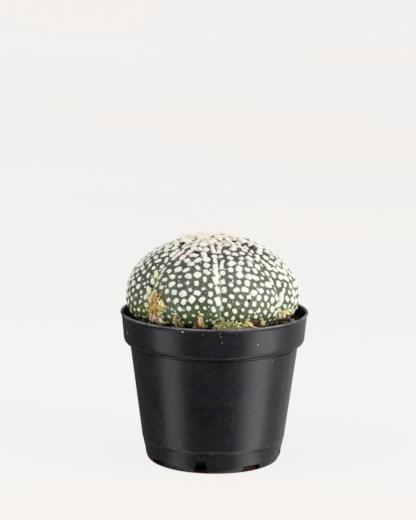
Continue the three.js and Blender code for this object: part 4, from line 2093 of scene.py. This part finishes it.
BLOOMS = (
    Bloom("dried_flower_left", -38.2, 79.2 * MM, 5.3 * MM, 8.6 * MM, 2.8 * MM, (
        Spray(30, (-0.10, 0.75), (0.0, -0.80), 0.26, 1.1 * MM, BARK, 0.5),
        Spray(26, (-0.10, 0.65), (0.0, -0.10), 0.22, 1.2 * MM, GOLDEN),
        Spray(6, (-0.50, 0.45), (-0.65, 1.0), 0.10, 1.3 * MM, PALE),
        Spray(10, (0.05, 0.55), (0.05, 0.95), 0.22, 1.2 * MM, HONEY),
        Spray(5, (0.45, 0.60), (1.05, 0.45), 0.07, 1.7 * MM, PALE),
        Spray(4, (0.30, 0.35), (0.80, 0.25), 0.07, 1.5 * MM, GOLDEN),
        Spray(4, (0.40, 0.10), (0.85, -0.10), 0.07, 1.4 * MM, PALE),
        Spray(3, (0.45, -0.25), (0.70, -0.55), 0.07, 1.3 * MM, PALE),
        Spray(6, (-0.35, 0.25), (-0.72, 0.0), 0.13, 1.3 * MM, GOLDEN),
        Spray(6, (-0.15, 0.0), (-0.80, -0.85), 0.045, 1.5 * MM, PINKISH),
        Spray(6, (0.0, 0.05), (0.28, -0.85), 0.045, 1.5 * MM, PINKISH),
    )),
    Bloom("dried_flower_middle", -22.4, 75.4 * MM, 2.9 * MM, 4.0 * MM, 2.0 * MM, (
        Spray(30, (0.0, 0.6), (0.1, -1.0), 0.36, 0.8 * MM, BARK, 0.5),
        Spray(9, (-0.3, 0.5), (0.3, -0.7), 0.40, 0.7 * MM, OLIVE),
        Spray(3, (-0.7, 0.1), (0.0, 0.80), 0.15, 0.7 * MM, TAN),
        Spray(4, (-0.4, -0.30), (0.2, -0.55), 0.18, 0.8 * MM, PINKISH),
        Spray(10, (0.3, 0.4), (0.5, -0.9), 0.28, 0.7 * MM, BROWN),
    )),
    Bloom("dried_flower_front", -8.2, 75.4 * MM, 3.3 * MM, 4.4 * MM, 2.6 * MM, (
        Spray(20, (0.1, 0.4), (0.0, -1.0), 0.26, 0.9 * MM, BARK, 0.5),
        Spray(12, (0.1, 0.75), (0.45, -1.0), 0.24, 1.0 * MM, TAN),
        Spray(9, (0.0, 0.2), (-0.8, -1.0), 0.22, 0.9 * MM, BROWN),
    )),
    Bloom("dried_husk_right", 29.0, 74.0 * MM, 4.4 * MM, 2.7 * MM, 2.6 * MM, (
        Spray(24, (-0.5, 0.5), (0.6, 0.2), 0.30, 1.0 * MM, BARK, 0.5),
        Spray(11, (-0.85, 0.65), (-0.35, -0.60), 0.11, 1.8 * MM, PALE, 1.2),
        Spray(10, (-0.50, -0.60), (0.65, -0.65), 0.11, 1.5 * MM, PINKISH, 1.2),
        Spray(7, (0.70, -0.60), (0.88, 0.85), 0.07, 1.3 * MM, PALE, 1.2),
    )),
    Bloom("dried_husk_side", 56.0, 76.1 * MM, 4.6 * MM, 3.3 * MM, 1.8 * MM, (
        Spray(20, (0.5, 0.5), (0.5, -0.5), 0.26, 1.0 * MM, OLIVE, 0.5),
        Spray(6, (-0.95, -0.85), (-0.60, 0.60), 0.06, 1.2 * MM, YELLOW),
        Spray(7, (-0.65, 0.50), (0.25, 0.95), 0.07, 1.3 * MM, YELLOW),
        Spray(7, (0.05, 0.90), (0.95, 0.50), 0.09, 1.3 * MM, YELLOW),
        Spray(6, (-0.35, 0.15), (-0.10, -0.55), 0.10, 1.8 * MM, PINKISH),
        Spray(7, (0.05, 0.45), (0.80, -0.10), 0.10, 1.2 * MM, YELLOW, 0.7),
    )),
)


# ---- studio ----


@dataclass(frozen=True)
class Softbox:
    """A rectangular light that faces the plant; lengths are in metres and its power in watts."""

    name: str
    azimuth: float
    elevation: float
    distance: float
    width: float
    height: float
    power: float

    def build(self, target: Vector) -> None:
        """Hangs the light.

        Args:
            target: What it is aimed at.
        """
        lamp = bpy.data.lights.new(self.name, "AREA")
        lamp.shape = "RECTANGLE"
        lamp.size, lamp.size_y = self.width, self.height
        lamp.energy = self.power
        thing = placed(self.name, lamp)
        rise = math.radians(self.elevation)
        thing.location = target + spot(self.azimuth, self.distance * math.cos(rise),
                                       self.distance * math.sin(rise))
        thing.rotation_euler = (target - thing.location).to_track_quat("-Z", "Y").to_euler()


@dataclass(frozen=True)
class BrightWall:
    """A stretch of the room that glows: its azimuth, its width and soft edge in degrees, its strength."""

    azimuth: float
    width: float
    softness: float
    strength: float


@dataclass(frozen=True)
class Studio:
    """Floor, soft light and camera."""

    pivot: Spot = (0, 0, 40 * MM)
    distance: float = 1000 * MM
    elevation: float = 13.4
    aim_down: float = 10.11
    aim_left: float = 0.195
    roll: float = 0.5
    lens: float = 141.4
    nearest: float = 0.05
    boxes: tuple[Softbox, ...] = (
        Softbox("left_box", -65, 18, 0.9, 0.42, 0.9, 2.0),
        Softbox("front_box", -48, 48, 0.9, 0.7, 0.7, 1.8),
        Softbox("right_box", 52, 22, 0.9, 0.50, 0.9, 3.8),
        Softbox("top_box", 20, 80, 0.9, 0.8, 0.8, 2.5),
    )
    lit: Spot = (0, 0, 70 * MM)
    air: tuple[float, ...] = (1.0, 0.99, 0.985, 1.0)
    dimness: float = 0.10
    walls: tuple[BrightWall, ...] = (
        BrightWall(-65, 26, 16, 2.3), BrightWall(67, 28, 24, 4.3), BrightWall(122, 100, 40, 0.5))
    floor_reach: float = 40.0
    floor_back: float = 3.0
    sweep_radius: float = 0.8
    sweep_steps: int = 8
    backdrop_rise: float = 3.0

    def build(self) -> None:
        """Sets up everything that isn't the plant."""
        self.camera()
        self.floor()
        self.sky()
        for box in self.boxes:
            box.build(Vector(self.lit))
        view = bpy.context.scene.view_settings
        view.view_transform = "Standard"
        view.look = "None"

    def camera(self) -> None:
        """Places the camera, a metre away and a little above the plant."""
        data = bpy.data.cameras.new("camera")
        data.lens = self.lens
        data.clip_start = self.nearest
        camera = placed("camera", data)
        rise = math.radians(self.elevation)
        away = Vector((0, -math.cos(rise), math.sin(rise))) * self.distance
        turn = (Matrix.Rotation(math.radians(self.aim_left), 4, "Z")
                @ Matrix.Rotation(math.radians(90 - self.aim_down), 4, "X")
                @ Matrix.Rotation(math.radians(self.roll), 4, "Z"))
        camera.matrix_world = Matrix.Translation(Vector(self.pivot) + away) @ turn
        bpy.context.scene.camera = camera

    def sweep(self) -> None:
        """Extrudes the selected edge up a quarter of a circle, and then straight up."""
        length = self.sweep_radius * math.pi / 2 / self.sweep_steps
        angles = [(step + 0.5) / self.sweep_steps * math.pi / 2 for step in range(self.sweep_steps)]
        moves = [(0, length * math.cos(angle), length * math.sin(angle)) for angle in angles]
        for move in [*moves, (0, 0, self.backdrop_rise)]:
            bpy.ops.mesh.extrude_region_move(TRANSFORM_OT_translate={"value": move})

    def floor(self) -> None:
        """Models a wide floor that sweeps up into a backdrop."""
        ground = Workpiece.started("studio_floor", bpy.ops.mesh.primitive_plane_add,
                                   size=2 * self.floor_reach,
                                   location=(0, self.floor_back - self.floor_reach, 0))
        mesh = ground.thing.data
        far = [vertex.co.y > self.floor_back / 2 for vertex in mesh.vertices]
        far_edges = [all(far[i] for i in edge.vertices) for edge in mesh.edges]
        ground.choose([False] * len(mesh.polygons), far_edges).edit(self.sweep, edges=True)
        ground.dress(Backdrop().material()).smooth(60)
        ground.thing.visible_glossy = False
        ground.thing.visible_shadow = False

    def sky(self) -> None:
        """Soft light from all round, with bright walls for the gloss."""
        world = bpy.data.worlds.new("soft_room")
        world.use_nodes = True
        g = Graph(world.node_tree, "Generated")
        level = g.node("ShaderNodeVectorMath", {"operation": "MULTIPLY"}, {0: g.place, 1: (1, 1, 0)})
        level = g.node("ShaderNodeVectorMath", {"operation": "NORMALIZE"}, {0: level})
        slope = g.place.part(2)
        rise = (slope.above(-0.60, -0.28) * 0.5 + 0.5) * (slope.above(0.30, -0.10) * 0.7 + 0.3)
        strength: Operand = self.dimness
        for wall in self.walls:
            towards = g.node("ShaderNodeVectorMath", {"operation": "DOT_PRODUCT"},
                             {0: level, 1: spot(wall.azimuth, 1, 0)}, "Value")
            edge = [math.cos(math.radians(wall.width / 2 + side * wall.softness / 2)) for side in (1, -1)]
            strength = strength + towards.above(*edge) * rise * wall.strength
        light = g.node("ShaderNodeBackground", {}, {"Color": self.air, "Strength": strength})
        g.node("ShaderNodeOutputWorld", {}, {"Surface": light})
        bpy.context.scene.world = world


def main() -> None:
    """Builds the plant and its studio, and logs the fleck count and each piece's face count."""
    logging.basicConfig(level=logging.INFO, format="%(name)s %(message)s")
    Studio().build()
    NurseryPot().build()
    PottingMix().build()
    StarCactus().build()
    for bloom in BLOOMS:
        bloom.build()
    Moss().build()


if __name__ == "__main__":
    main()
